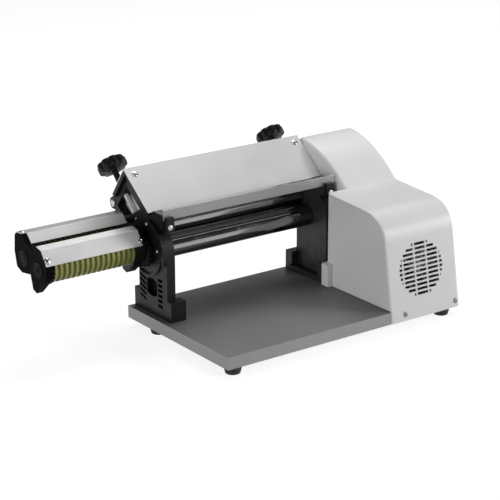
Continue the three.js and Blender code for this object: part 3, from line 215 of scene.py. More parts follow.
def material(name, color, rough, metal=0.0, cloud=0.05, cloud_size=60, grain=0.9, bump=0.1, depth=0.05,
             rough_cloud=0.06, stretch=(1, 1, 1), coat=0.0, specular=0.5, wear=None, wear_width=0.7,
             top_painted_shade=None, side=None, scratch=0.0, fine=0.02):
    """A procedural finish, with sizes in mm. cloud is how far the colour drifts over cloud_size, fine how
    far from grain to grain, and rough_cloud how far the roughness drifts. stretch draws the grain out
    along an axis. bump and depth are the strength and height of the grain, scratch the roughness of fine
    lines. wear is the colour that shows along worn edges. The top colour is painted shade on upward faces,
    and the side colour is painted light on faces square to the rollers."""
    finish = bpy.data.materials.new(name)
    tree = tree_of(finish)
    new = tree.nodes.new
    shader = new("ShaderNodeBsdfPrincipled")
    surface = new("ShaderNodeOutputMaterial")
    link(tree, shader, "BSDF", surface, "Surface")
    shader.inputs["Metallic"].default_value = metal
    shader.inputs["Coat Weight"].default_value = coat
    shader.inputs["Coat Roughness"].default_value = 0.12
    shader.inputs["Specular IOR Level"].default_value = specular
    coord = new("ShaderNodeTexCoord")
    stretched = new("ShaderNodeMapping")
    stretched.inputs["Scale"].default_value = stretch
    link(tree, coord, "Object", stretched, "Vector")

    def feed(value, socket):
        """Sets a socket to a colour, or links a node's output to it."""
        if isinstance(value, tuple):
            socket.default_value = value
        else:
            tree.links.new(value, socket)

    def noise(size, detail, source=coord.outputs["Object"], roughness=0.5):
        texture = new("ShaderNodeTexNoise")
        texture.inputs["Scale"].default_value = MM_PER_M / size
        texture.inputs["Detail"].default_value = detail
        texture.inputs["Roughness"].default_value = roughness
        feed(source, texture.inputs["Vector"])
        return texture.outputs[0]

    def ranged(value, near=0.3, far=0.7, low=0, high=1):
        """Maps near to low and far to high; the default near and far are the usual span of a noise."""
        node = new("ShaderNodeMapRange")
        node.inputs["From Min"].default_value = near
        node.inputs["From Max"].default_value = far
        node.inputs["To Min"].default_value = low
        node.inputs["To Max"].default_value = high
        feed(value, node.inputs["Value"])
        return node.outputs[0]

    def blend(factor, a, b, kind="MIX"):
        node = new("ShaderNodeMix")
        node.data_type = "RGBA"
        node.blend_type = kind
        if factor is None:
            node.inputs["Factor"].default_value = 1
        else:
            feed(factor, node.inputs["Factor"])
        feed(a, color_socket(node.inputs, "A"))
        feed(b, color_socket(node.inputs, "B"))
        return color_socket(node.outputs)

    def maths(operation, a, b=None):
        node = new("ShaderNodeMath")
        node.operation = operation
        feed(a, node.inputs[0])
        if b is not None:
            feed(b, node.inputs[1])
        return node.outputs[0]

    def clouded(base):
        return blend(ranged(clouds), scaled(base, 1 - cloud), scaled(base, 1 + cloud))

    clouds = noise(cloud_size, 4)
    grains = noise(grain, 3, stretched.outputs["Vector"], 0.6)
    tint = clouded(color)
    # upward faces take a painted shade and faces square to the rollers a painted light, picked by the
    # object-space normal
    for painted_tone, along in ((top_painted_shade, "Z"), (side, "X")):
        if painted_tone is not None:
            facing = new("ShaderNodeSeparateXYZ")
            link(tree, coord, "Normal", facing, 0)
            square = maths("ABSOLUTE", facing.outputs[along])
            tint = blend(ranged(square, *FACING), tint, clouded(painted_tone))
    speckle = blend(ranged(grains), (1 - fine,) * 3 + (1,), (1 + fine,) * 3 + (1,))
    tint = blend(None, tint, speckle, "MULTIPLY")
    rough_map = ranged(noise(cloud_size * ROUGH_PATCH_SHARE, 5), low=rough - rough_cloud,
                       high=rough + rough_cloud)
    if scratch:
        lines = noise(SCRATCH_SIZE, 2, stretched.outputs["Vector"])
        rough_map = maths("ADD", rough_map, ranged(lines, *SCRATCHES, high=scratch))
    if wear is not None:
        rounded = new("ShaderNodeBevel")
        rounded.samples = 4
        rounded.inputs["Radius"].default_value = wear_width * MM
        flat = new("ShaderNodeNewGeometry")
        agree = new("ShaderNodeVectorMath")
        agree.operation = "DOT_PRODUCT"
        link(tree, rounded, 0, agree, 0)
        link(tree, flat, "Normal", agree, 1)
        bare = ranged(agree.outputs["Value"], *WORN_EDGE)
        patches = ranged(noise(WORN_PATCH_SIZE, 4), *WORN_PATCHES, high=WORN_MOST)
        tint = blend(maths("MULTIPLY", bare, patches), tint, wear + (1,))
    tree.links.new(tint, shader.inputs["Base Color"])
    tree.links.new(rough_map, shader.inputs["Roughness"])
    relief = new("ShaderNodeBump")
    relief.inputs["Strength"].default_value = bump
    relief.inputs["Distance"].default_value = depth * MM
    tree.links.new(grains, relief.inputs["Height"])
    link(tree, relief, "Normal", shader, "Normal")
    return finish


paint_white = material("paint_white", grey(224), 0.42, cloud=0.02, grain=1.4, bump=0.12, depth=0.08,
                       wear=grey(236), cloud_size=90, fine=0.012)
# The sheet's faces square to the rollers take a lighter grey: painted light on the end cheeks, which lie in
# shade inside the uprights.
sheet_grey = material("sheet_grey", grey(217), 0.4, metal=0.25, cloud=0.03, grain=0.8, stretch=(0.05, 1, 1),
                      bump=0.08, depth=0.03, wear=grey(232), side=grey(246), cloud_size=120)
# The tray's top takes a darker grey than its sides: painted shade on one and the same paint.
tray_paint = material("tray_paint", grey(160), 0.46, cloud=0.04, grain=0.9, bump=0.25, depth=0.08,
                      wear=grey(176), top_painted_shade=grey(112), cloud_size=110, fine=0.06)
lip_steel = material("lip_steel", grey(150), 0.36, metal=0.35, cloud=0.03, grain=0.7, stretch=(0.04, 1, 1),
                     bump=0.08, depth=0.03, wear=grey(205))
black_mould = material("black_mould", grey(19), 0.4, specular=0.22, cloud=0.2, grain=0.7, bump=0.22,
                       depth=0.06, wear=grey(52), wear_width=0.8, cloud_size=25, rough_cloud=0.08)
plate_grey = material("plate_grey", grey(44), 0.42, specular=0.25, cloud=0.15, grain=0.7, bump=0.22,
                      depth=0.06, wear=grey(64), wear_width=0.8, cloud_size=30, rough_cloud=0.08)
knob_black = material("knob_black", grey(16), 0.42, specular=0.22, cloud=0.2, grain=0.6, bump=0.3,
                      depth=0.07, wear=grey(46), cloud_size=12)
polished = material("polished", grey(148), 0.1, metal=1.0, cloud=0.02, grain=0.5, stretch=(1, 0.02, 0.02),
                    bump=0.015, depth=0.01, rough_cloud=0.025, scratch=0.05, cloud_size=50)
bright_screw = material("bright_screw", grey(222), 0.3, metal=0.4, cloud=0.03, grain=0.4, bump=0.06,
                        depth=0.02, rough_cloud=0.05, cloud_size=4)
shiny_screw = material("shiny_screw", grey(228), 0.16, metal=1.0, cloud=0.03, grain=0.4, bump=0.04,
                       depth=0.02, rough_cloud=0.04, cloud_size=4)
turned_steel = material("turned_steel", grey(172), 0.3, metal=1.0, cloud=0.05, grain=0.5,
                        stretch=(1, 0.05, 0.05), bump=0.06, depth=0.02, cloud_size=18, wear=grey(220))
gear_steel = material("gear_steel", grey(120), 0.38, metal=1.0, cloud=0.1, grain=0.5, bump=0.1, depth=0.03,
                      cloud_size=10, wear=grey(190))
dark_steel = material("dark_steel", grey(48), 0.42, metal=0.8, cloud=0.12, grain=0.5, bump=0.12, depth=0.03,
                      cloud_size=10, wear=grey(130))
bronze = material("bronze", grey((104, 88, 62)), 0.42, metal=1.0, cloud=0.08, grain=0.4, bump=0.1,
                  depth=0.02, cloud_size=14)
olive = material("olive", grey((146, 148, 80)), 0.44, cloud=0.06, grain=0.6, stretch=(1, 0.1, 0.1), bump=0.12,
                 depth=0.03, cloud_size=16, wear=grey((182, 184, 118)))
# The rear cutter roller's olive, darkened: painted shade, as its rings lie in the covers' shadow.
olive_painted_shade = material("olive_painted_shade", grey((64, 64, 44)), 0.5, specular=0.2, cloud=0.08, grain=0.6,
                      stretch=(1, 0.1, 0.1), bump=0.12, depth=0.03, cloud_size=16, wear=grey((92, 92, 66)))
# The cutter covers' upward faces take a darker grey: painted shade against the top lamp's light.
cutter_sheet = material("cutter_sheet", grey(240), 0.38, metal=0.2, cloud=0.03, grain=0.8,
                        stretch=(0.05, 1, 1), bump=0.08, depth=0.03, wear=grey(236), top_painted_shade=grey(203))
rubber = material("rubber", grey(24), 0.75, cloud=0.15, grain=0.8, bump=0.4, depth=0.1, cloud_size=15,
                  rough_cloud=0.08)
belt_rubber = material("belt_rubber", grey(30), 0.68, cloud=0.15, grain=0.9, bump=0.4, depth=0.1,
                       stretch=(0.1, 1, 1), cloud_size=20)
cast_dark = material("cast_dark", grey(74), 0.55, metal=0.4, cloud=0.1, grain=1.1, bump=0.4, depth=0.15,
                     cloud_size=22, wear=grey(120))
inner_paint = material("inner_paint", grey(120), 0.5, cloud=0.05, grain=0.9, bump=0.25, depth=0.08,
                       wear=grey(160), cloud_size=40)
switch_black = material("switch_black", grey(22), 0.28, cloud=0.1, grain=0.5, bump=0.08, depth=0.02,
                        cloud_size=10, coat=0.2)
skirt_steel = material("skirt_steel", grey(150), 0.45, metal=0.5, cloud=0.08, grain=0.4, bump=0.08,
                       depth=0.02, cloud_size=4, wear=grey(170))
plate_black = material("plate_black", grey(9), 0.62, specular=0.03, cloud=0.2, grain=0.7, bump=0.22,
                       depth=0.06, wear=grey(38), wear_width=1.0, cloud_size=25, rough_cloud=0.08)
rim_black = material("rim_black", grey(13), 0.5, specular=0.08, cloud=0.2, grain=0.7, bump=0.2, depth=0.05,
                     wear=grey(58), cloud_size=20)
fan_grey = material("fan_grey", grey(176), 0.45, cloud=0.05, grain=0.6, bump=0.1, depth=0.03, cloud_size=15)
mark_white = material("mark_white", grey(225), 0.5, cloud=0.03, grain=0.4, bump=0.1, depth=0.02, cloud_size=5)

# ---------------------------------------------------------------- modifiers
SMOOTH_BELOW = math.radians(38)     # edges with a smaller angle are shaded smooth
WELD_M = 2e-6                       # corners of a CAD mesh nearer than this, in metres, are one
FLAT_WITHIN = math.radians(0.6)     # faces of a CAD mesh nearer to flat than this are one
soften = bpy.data.node_groups.new("smooth_by_angle", "GeometryNodeTree")
soften.interface.new_socket("Geometry", in_out="INPUT", socket_type="NodeSocketGeometry")
soften.interface.new_socket("Geometry", in_out="OUTPUT", socket_type="NodeSocketGeometry")
g_in, g_out = soften.nodes.new("NodeGroupInput"), soften.nodes.new("NodeGroupOutput")
faces_smooth = soften.nodes.new("GeometryNodeSetShadeSmooth")
faces_smooth.domain = "FACE"
edges_smooth = soften.nodes.new("GeometryNodeSetShadeSmooth")
edges_smooth.domain = "EDGE"
edge_angle = soften.nodes.new("GeometryNodeInputMeshEdgeAngle")
gentle = soften.nodes.new("FunctionNodeCompare")
gentle.data_type, gentle.operation = "FLOAT", "LESS_EQUAL"
gentle.inputs[1].default_value = SMOOTH_BELOW
soften.links.new(g_in.outputs[0], faces_smooth.inputs["Geometry"])
soften.links.new(faces_smooth.outputs[0], edges_smooth.inputs["Geometry"])
soften.links.new(edge_angle.outputs["Unsigned Angle"], gentle.inputs[0])
soften.links.new(gentle.outputs[0], edges_smooth.inputs["Shade Smooth"])
soften.links.new(edges_smooth.outputs[0], g_out.inputs[0])


def round_edges(obj, width=0.6, segments=2, angle=32, clean=True):
    """Bevels the edges sharper than an angle by a width in mm, and shades by angle. clean first joins the
    loose triangles of a CAD mesh into flat faces."""
    if clean:
        weld = obj.modifiers.new("weld", "WELD")
        weld.merge_threshold = WELD_M
        flat = obj.modifiers.new("flat", "DECIMATE")
        flat.decimate_type = "DISSOLVE"
        flat.angle_limit = FLAT_WITHIN
    if width:
        bevel = obj.modifiers.new("bevel", "BEVEL")
        bevel.width = width * MM
        bevel.segments = segments
        bevel.limit_method = "ANGLE"
        bevel.angle_limit = math.radians(angle)
        bevel.use_clamp_overlap = True
    smooth = obj.modifiers.new("smooth", "NODES")
    smooth.node_group = soften
    weighted = obj.modifiers.new("weigh", "WEIGHTED_NORMAL")
    weighted.keep_sharp = True


def dress(name, finish, width=0.6, segments=2, angle=32):
    """Gives a CAD node its finish and its rounded edges."""
    node = nodes[name]
    if not node.material_slots:
        node.data.materials.append(finish)
    for place in node.material_slots:
        place.material = finish
    round_edges(node, width, segments, angle)


# ---------------------------------------------------------------- mesh code
def basis(direction):
    """Two unit vectors across a direction, and the direction's own."""
    w = Vector(direction).normalized()
    u = w.orthogonal().normalized() if abs(w.x) < 0.99 else Vector((0, 1, 0))
    return u, w.cross(u), w


def circle(sides):
    """The angles of a ring's corners."""
    return [2 * math.pi * j / sides for j in range(sides)]


class Shape:
    """Collects closed forms, in mm from the tray's corner, and makes them one piece."""

    def __init__(self):
        self.points, self.faces = [], []

    def add(self, points, faces):
        start = len(self.points)
        self.points += [Vector(p) for p in points]
        self.faces += [tuple(start + i for i in f) for f in faces]
        return self

    def loft(self, rings, wrap=False):
        """Skins rings of equal length, and closes the ends or, with wrap, joins the last to the first."""
        n, m = len(rings[0]), len(rings)
        faces = []
        for i in range(m if wrap else m - 1):
            a, b = i * n, ((i + 1) % m) * n
            faces += [(a + j, a + (j + 1) % n, b + (j + 1) % n, b + j) for j in range(n)]
        if not wrap:
            faces += [tuple(reversed(range(n))), tuple(range((m - 1) * n, m * n))]
        return self.add([p for r in rings for p in r], faces)

    def lathe(self, at, direction, profile, sides=48, wrap=False, lobes=None):
        """profile is [(distance along the axis, radius)]; lobes(angle, distance, radius) changes the
        radius."""
        u, v, w = basis(direction)
        rings = []
        for t, r in profile:
            ring = []
            for a in circle(sides):
                q = lobes(a, t, r) if lobes else r
                ring.append(Vector(at) + w * t + (u * math.cos(a) + v * math.sin(a)) * q)
            rings.append(ring)
        return self.loft(rings, wrap)

    def box(self, low, high):
        (x0, y0, z0), (x1, y1, z1) = low, high
        return self.loft([[(x0, y0, z), (x1, y0, z), (x1, y1, z), (x0, y1, z)] for z in (z0, z1)])

    def make(self, name, body, finish, slot_name, replaces=(), width=0.0):
        """Makes the piece an object that rides on a body; width bevels its sharp edges."""
        mesh = bpy.data.meshes.new(name)
        mesh.from_pydata([P(*p) for p in self.points], [], self.faces)
        bm = bmesh.new()
        bm.from_mesh(mesh)
        bmesh.ops.recalc_face_normals(bm, faces=bm.faces)
        bm.to_mesh(mesh)
        bm.free()
        mesh.materials.append(finish)
        obj = bpy.data.objects.new(name, mesh)
        scene.collection.objects.link(obj)
        round_edges(obj, width, clean=False)
        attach(obj, body)
        if replaces:
            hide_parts(*replaces)


CORNER_SHARE = 0.45     # of a profile's side that one rounded corner takes at most
CORNER_LEAST = 0.05


def corner(points, radius=1.5, steps=3):
    """A profile of (distance, radius) with all corners but its two ends rounded."""
    result = [points[0]]
    for before, here, after in zip(points, points[1:], points[2:]):
        h = Vector(here)
        a, b = Vector(before) - h, Vector(after) - h
        cutback = min(radius, a.length * CORNER_SHARE, b.length * CORNER_SHARE)
        if cutback < CORNER_LEAST:
            result.append(here)
            continue
        p, q = h + a.normalized() * cutback, h + b.normalized() * cutback
        for i in range(steps + 1):
            s = i / steps
            result.append(tuple(p * (1 - s) ** 2 + h * 2 * s * (1 - s) + q * s * s))
    result.append(points[-1])
    return result


X, Y, Z = Vector((1, 0, 0)), Vector((0, 1, 0)), Vector((0, 0, 1))
SLANT = Vector((0, 1, 1)).normalized()
lower = middle("lower_roller_gear")
upper = middle("upper_roller_gear")

# ---------------------------------------------------------------- CAD nodes that keep their shape
dress("base_tray", tray_paint, 1.2, 3)
dress("motor_housing", paint_white, 0.9, 2, 40)
dress("roller_cover", sheet_grey, 0.35)
dress("front_lip", lip_steel, 0.5)
for side in ("left", "right"):
    dress(f"{side}_upright", black_mould if side == "left" else plate_grey, 1.0, 3)
    dress(f"lip_clamp_{side}", black_mould, 0.8)
    dress(f"bearing_block_{side}", bronze, 0.5)
    dress(f"lower_bush_{side}", bronze, 0.3)
    dress(f"cutter_plate_{side}", plate_black if side == "left" else black_mould, 1.2, 3)
for end in ("front", "rear"):
    dress(f"cutter_cover_{end}", cutter_sheet, 0.4)
    dress(f"cutter_gear_{end}", knob_black, 0.3)
for name in ("lower_roller_gear", "upper_roller_gear"):
    dress(name, gear_steel, 0.3)
for name in ("output_gear", "cutter_input_gear"):
    dress(name, dark_steel, 0.3)
for name in ("drive_pulley", "driven_pulley", "output_shaft", "motor_shaft"):
    dress(name, turned_steel, 0.3)
dress("drive_belt", belt_rubber, 0.3)
dress("gearbox", cast_dark, 0.8)
dress("gearbox_foot", inner_paint, 0.5)
dress("motor_cradle", inner_paint, 0.5)
dress("switch_body", switch_black, 0.6)
dress("switch_rocker", switch_black, 0.5)
dress("power_inlet", switch_black, 0.4)


# ---------------------------------------------------------------- screws
WIDE_SHARE = 0.8        # of a screw's largest radius, from where a point is the head's
SCREW_SIDES = 48
DOME_STEPS = 10
SHANK_RADIUS = 2.2
SHANK_TIP_RADIUS = 0.8
HEAD_HEIGHT = 2.4
HEAD_RIM = 0.9
RECESS_DEPTH = 1.1
RECESS_REACH, RECESS_HALF_WIDTH = 0.58, 0.14    # shares of the head's radius


def axis_of(name):
    """Where a screw's head lies on the surface, which way it points and how deep its shank goes."""
    pts = np.array([back(v.co) for v in nodes[name].data.vertices])
    centre = pts.mean(0)
    way = np.linalg.svd(pts - centre)[2][0]
    t = (pts - centre) @ way
    radial = np.linalg.norm(pts - centre - np.outer(t, way), axis=1)
    wide = radial > WIDE_SHARE * radial.max()
    if t[wide].mean() < 0:
        way, t = -way, -t
    line = pts[wide].mean(0) - centre
    base = centre + line - way * ((line @ way) - t[wide].min())
    return Vector(base), Vector(way), t[wide].min() - t.min()


def screw_detail(name, body, slot_name, finish=bright_screw, radius=6.0, turn=0.3):
    """A domed head with a cross recess and a washer, in place of a CAD screw; turn sets the cross."""
    at, way, bite = axis_of(name)
    u, v, w = basis(way)

    def ring(t, r):
        return [at + w * t + (u * math.cos(a) + v * math.sin(a)) * r for a in circle(SCREW_SIDES)]

    rings = [ring(-bite, SHANK_TIP_RADIUS), ring(-bite + 0.8, SHANK_RADIUS), ring(-0.2, SHANK_RADIUS),
             ring(0.1, radius * 0.96), ring(0.5, radius), ring(HEAD_RIM, radius * 0.99)]
    for i in range(1, DOME_STEPS + 1):
        r = radius * 0.97 * math.cos(math.pi / 2 * i / (DOME_STEPS + 0.6))
        dome = HEAD_RIM + (HEAD_HEIGHT - HEAD_RIM) * math.sqrt(max(0.0, 1 - (r / radius) ** 2))
        points = []
        for a in circle(SCREW_SIDES):
            x, y = r * math.cos(a + turn), r * math.sin(a + turn)
            in_cross = (max(abs(x), abs(y)) < radius * RECESS_REACH
                        and min(abs(x), abs(y)) < radius * RECESS_HALF_WIDTH)
            height = dome - (RECESS_DEPTH if in_cross else 0)
            points.append(at + w * height + (u * math.cos(a) + v * math.sin(a)) * r)
        rings.append(points)
    washer = [(-0.25, radius * 0.5), (-0.25, radius * 1.18), (0.05, radius * 1.2), (0.3, radius * 1.14),
              (0.35, radius * 0.5)]
    Shape().loft(rings).lathe(at, way, washer, 40, wrap=True).make(
        name + "_detail", body, finish, slot_name, (name,))


for side in ("left", "right"):
    screw_detail(f"cover_screw_{side}", "frame", "screw", shiny_screw, turn=0.4)
    screw_detail(f"lip_screw_{side}", "frame", "screw", radius=4.6, turn=0.9)
    screw_detail(f"skirt_screw_{side}", "frame", "screw", skirt_steel, radius=5.0, turn=0.2)
    for end in ("front", "rear"):
        screw_detail(f"cutter_screw_{end}_{side}", "frame", "screw", shiny_screw, turn=0.6)

# two small screw heads on the left upright's outer face, and a thin dark sheet on the right upright's shoe as
# the painted shade of a slot
BUTTON_RADIUS = 3.0
PLATE_RISE = 8          # from the left upright's outermost face in to the face that carries the heads
button = [(-0.2, BUTTON_RADIUS * 0.9), (0.2, BUTTON_RADIUS), (0.7, BUTTON_RADIUS * 0.97),
          (1.3, BUTTON_RADIUS * 0.75), (1.6, BUTTON_RADIUS * 0.35)]
outer = node_box("left_upright")[0].x + PLATE_RISE
for name, y, z in (("upright_screw_upper", 301.6, 214.6), ("upright_screw_lower", 263.9, 166.5)):
    Shape().lathe((outer, y, z), (-1, 0, 0), button, 28).make(name, "frame", bright_screw, "screw")
shoe = node_box("right_upright")[0].x
Shape().box((shoe - 0.15, 322, 36), (shoe + 0.3, 334, 40)).make(
    "shoe_slot_painted_shade", "frame", plate_black, "moulding")

# ---------------------------------------------------------------- feet
for name in ("foot_front_left", "foot_front_right", "foot_rear_left", "foot_rear_right"):
    low, high = node_box(name)
    centre = (low + high) / 2
    at = (centre.x, centre.y, low.z)
    h = high.z - low.z
    profile = [(4.5, 5.2), (0, 5.5), (0, 13.4), (0.8, 14.9), (2.2, 15.6), (h * 0.55, 17.1), (h * 0.6, 16.7),
               (h * 0.66, 16.7), (h * 0.71, 17.5), (h - 0.7, 18.4), (h, 18.0), (h, 6.0)]
    Shape().lathe(at, Z, profile, 48, wrap=True).make(name + "_detail", "frame", rubber, "foot", (name,))
    profile = [(3.6, 2.2), (2.6, 3.0), (2.6, 4.6), (3.0, 5.0), (h, 5.0)]
    Shape().lathe(at, Z, profile, 32).make(name + "_washer", "frame", bright_screw, "screw")

# ---------------------------------------------------------------- rollers
ROLLER_RADIUS = 25
ROLLER_CHAMFER = 1.6
JOURNAL_RADIUS = 10
ROLLER_START = 35.0
UPRIGHT_TO_ROLLER = 15      # from the right upright's inner edge to the roller's end
for name, at in (("lower_roller", lower), ("upper_roller", upper)):
    low, high = node_box(name)
    start, end = ROLLER_START, node_box("right_upright")[0].x + UPRIGHT_TO_ROLLER
    rim, r, j = ROLLER_RADIUS - ROLLER_CHAMFER, ROLLER_RADIUS, JOURNAL_RADIUS
    profile = corner([
        (low.x + 2.4, 2.2), (low.x + 0.02, 2.8), (low.x, 3.2), (low.x, j - 1), (low.x + 1, j), (start - 0.6, j),
        (start, j + 1.5), (start, rim), (start + ROLLER_CHAMFER, r), (end - ROLLER_CHAMFER, r), (end, rim),
        (end, j + 1.5), (end + 0.6, j), (high.x - 1, j), (high.x, j - 1), (high.x, 3.2), (high.x - 0.02, 2.8),
        (high.x - 2.4, 2.2)], 0.5, 2)
    Shape().lathe((0, at.y, at.z), X, profile, 112).make(name + "_detail", name, polished, "roller", (name,))

# ---------------------------------------------------------------- adjusting screws, sleeves and knobs
THREAD_RADIUS, THREAD_DEPTH, THREAD_PITCH = 5.0, 0.55, 1.75
THREAD_START, THREAD_END, THREAD_STEP = 17.3, 145.5, 0.45
LEAD_IN, LEAD_RADIUS = 0.6, 4.2
SLEEVE_START, SLEEVE_END, SLEEVE_RADIUS = 104, 135.2, 6.5
KNOB_START, KNOB_HEIGHT = 135.5, 27.0
KNOB_LOBES = 9


def thread(angle, t, radius):
    """The screw's radius at an angle, along its helix."""
    if radius < THREAD_RADIUS:
        return radius
    phase = (t / THREAD_PITCH - angle / (2 * math.pi)) % 1
    return radius - THREAD_DEPTH * abs(2 * phase - 1)


def knob_edge(angle, t, radius):
    """Draws the knob's rim out into lobes, and leaves its hub round."""
    share = max(0.0, min(1.0, (radius - 15) / 12))
    wave = abs(math.cos(KNOB_LOBES / 2 * angle)) ** 0.7
    return radius + share * (4.2 * wave - 2.4)


for side in ("left", "right"):
    body = f"adjuster_{side}"
    at = Vector((middle(f"bearing_block_{side}").x, upper.y, upper.z))
    threaded = THREAD_END - THREAD_START - LEAD_IN
    steps = int((THREAD_END - THREAD_START) / THREAD_STEP)
    profile = [(THREAD_START, LEAD_RADIUS)]
    profile += [(THREAD_START + LEAD_IN + i * threaded / steps, THREAD_RADIUS) for i in range(steps + 1)]
    Shape().lathe(at, SLANT, profile, 28, lobes=thread).make(
        f"adjusting_screw_{side}_detail", body, bright_screw, "screw", (f"adjusting_screw_{side}",))

    a, b, r = SLEEVE_START, SLEEVE_END, SLEEVE_RADIUS
    profile = corner([(a, 5.05), (a, r), (a + 2.5, r), (a + 3.2, 6.1), (a + 4, r), (b, r), (b, 5.05)], 0.6)
    Shape().lathe(at, SLANT, profile, 40, wrap=True).make(
        f"adjusting_sleeve_{side}", body, knob_black, "knob")

    # the lobed grip, dished on top, with a hub below, and a steel insert in it
    a, b = KNOB_START, KNOB_START + KNOB_HEIGHT
    grip = corner([(a, 5.4), (a, 14), (a + 3, 14.5), (a + 4.6, 22), (a + 6.4, 28.4), (a + 9.4, 30), (b - 5, 30),
                   (b - 1.6, 28), (b - 0.2, 23), (b - 0.6, 16), (b - 1.2, 8), (b - 1.2, 3)], 1.4, 3)
    grip += [(a + 10.5, 3), (a + 10.4, 5.4)]
    Shape().lathe(at, SLANT, grip, 144, wrap=True, lobes=knob_edge).make(
        f"adjusting_knob_{side}_detail", body, knob_black, "knob", (f"adjusting_knob_{side}",))
    cap = corner([(b - 2.5, 2), (b - 2.5, 7.2), (b - 0.9, 7.2), (b - 0.5, 6.4), (b - 0.5, 2)], 0.5)
    Shape().lathe(at, SLANT, cap, 36, wrap=True).make(f"knob_cap_{side}", body, dark_steel, "screw")

# ---------------------------------------------------------------- rear tie rod
ROD_RADIUS, ROD_HEAD_RADIUS = 6, 8
low, high = node_box("rear_tie_rod")
at = (0, (low.y + high.y) / 2, (low.z + high.z) / 2)
a, b, r = low.x, high.x, ROD_RADIUS
profile = corner([
    (a + 0.5, 1.6), (a, 3.0), (a + 0.2, 5.4), (a + 1.4, 7.6), (a + 3, ROD_HEAD_RADIUS), (a + 3.01, r),
    (a + 24, r), (a + 24.4, r - 0.4), (b - 24.4, r - 0.4), (b - 24, r), (b - 3.01, r), (b - 3, ROD_HEAD_RADIUS),
    (b - 1.4, 7.6), (b - 0.2, 5.4), (b, 3.0), (b - 0.5, 1.6)], 0.5, 2)
Shape().lathe(at, X, profile, 56).make(
    "rear_tie_rod_detail", "frame", bright_screw, "screw", ("rear_tie_rod",))

# ---------------------------------------------------------------- cutter rollers with rounded rings
RING_COUNT = {"front": 16, "rear": 15}      # the rear rings stand in the gaps of the front ones
PITCHES = 15.5
RING_RADIUS, ROOT_RADIUS = 29.4, 25.5
RING_GAP = 0.4
AXLE_RADIUS = 6
plate_l, plate_r = node_box("cutter_plate_left"), node_box("cutter_plate_right")
# the rear roller takes the olive with painted shade
for end, finish in (("front", olive), ("rear", olive_painted_shade)):
    name = f"cutter_roller_{end}"
    low, high = node_box(name)
    at = (0, middle(f"cutter_gear_{end}").y, middle(f"cutter_gear_{end}").z)
    body_left, body_right = plate_l[1].x + 9, plate_r[0].x - 1
    pitch = (body_right - body_left + RING_GAP) / PITCHES
    first = body_left if end == "front" else body_left + pitch / 2
    root, ring, width = ROOT_RADIUS, RING_RADIUS, pitch / 2 - RING_GAP
    profile = [(low.x, 3), (low.x, AXLE_RADIUS - 0.6), (low.x + 0.6, AXLE_RADIUS), (body_left, AXLE_RADIUS)]
    if first > body_left:
        profile.append((body_left, root))
    for i in range(RING_COUNT[end]):
        t = first + i * pitch
        if t > body_left:
            profile.append((t, root))
        profile += [(t, ring - 0.7), (t + 0.25, ring - 0.2), (t + 0.8, ring), (t + width - 0.8, ring),
                    (t + width - 0.25, ring - 0.2), (t + width, ring - 0.7)]
        if t + width < body_right - 0.01:
            profile.append((t + width, root))
    if profile[-1][0] < body_right - 0.01:
        profile.append((body_right, root))
    profile += [(body_right, AXLE_RADIUS), (high.x - 0.6, AXLE_RADIUS), (high.x, AXLE_RADIUS - 0.6),
                (high.x, 3)]
    Shape().lathe(at, X, profile, 72).make(
        name + "_detail", f"cutter_{end}", finish, "cutter_roller", (name,))


# ---------------------------------------------------------------- raised rim and bearing caps of the left plate
def face_outline(name, x):
    """The outline, as (y, z) in turn, of a CAD node's flat face at x."""
    mesh = nodes[name].data
    spots = [tuple(round(c, 2) for c in back(v.co)) for v in mesh.vertices]
    once = {}
    for tri in mesh.polygons:
        ring = [spots[i] for i in tri.vertices]
        if all(abs(p[0] - x) < 0.02 for p in ring):
            for a, b in zip(ring, ring[1:] + ring[:1]):
                if (b, a) in once:
                    once.pop((b, a))
                else:
                    once[(a, b)] = True
    follow = {a: b for a, b in once}
    loops = []
    while follow:
        here, loop = next(iter(follow)), []
        while here in follow:
            loop.append(here)
            here = follow.pop(here)
        loops.append([(p[1], p[2]) for p in loop])
    return max(loops, key=len)


def inset(outline, by):
    """The outline moved inwards."""
    n = len(outline)
    area = sum(outline[i - 1][0] * outline[i][1] - outline[i][0] * outline[i - 1][1] for i in range(n))
    by = by if area > 0 else -by
    result = []
    for i in range(n):
        a, b, c = (Vector(outline[j % n]) for j in (i - 1, i, i + 1))
        d, e = (b - a).normalized(), (c - b).normalized()
        normal = Vector((-d.y - e.y, d.x + e.x)).normalized()
        reach = by / max(0.5, normal.dot(Vector((-d.y, d.x))))
        result.append(tuple(b + normal * reach))
    return result


RIM_RISE, RIM_SINK = 1.3, 0.3
face = plate_l[0].x
edge_line = face_outline("cutter_plate_left", face)
rim = ((face + RIM_SINK, 1.6), (face - RIM_RISE, 2.2), (face - RIM_RISE, 5.2), (face + RIM_SINK, 5.8))
rings = [[(x, y, z) for y, z in inset(edge_line, by)] for x, by in rim]
Shape().loft(rings, wrap=True).make("cutter_plate_rim", "frame", rim_black, "moulding")
cap = corner([(-0.3, 9), (-0.3, 17), (1.1, 16.4), (1.1, 13.2), (0.4, 12.8), (0.4, 9.4), (1.3, 9),
              (1.3, 2)], 0.3, 2)
for end in ("front", "rear"):
    axis = middle(f"cutter_gear_{end}")
    Shape().lathe((face, axis.y, axis.z), (-1, 0, 0), cap, 48).make(
        f"cutter_bearing_cap_{end}", "frame", rim_black, "moulding")

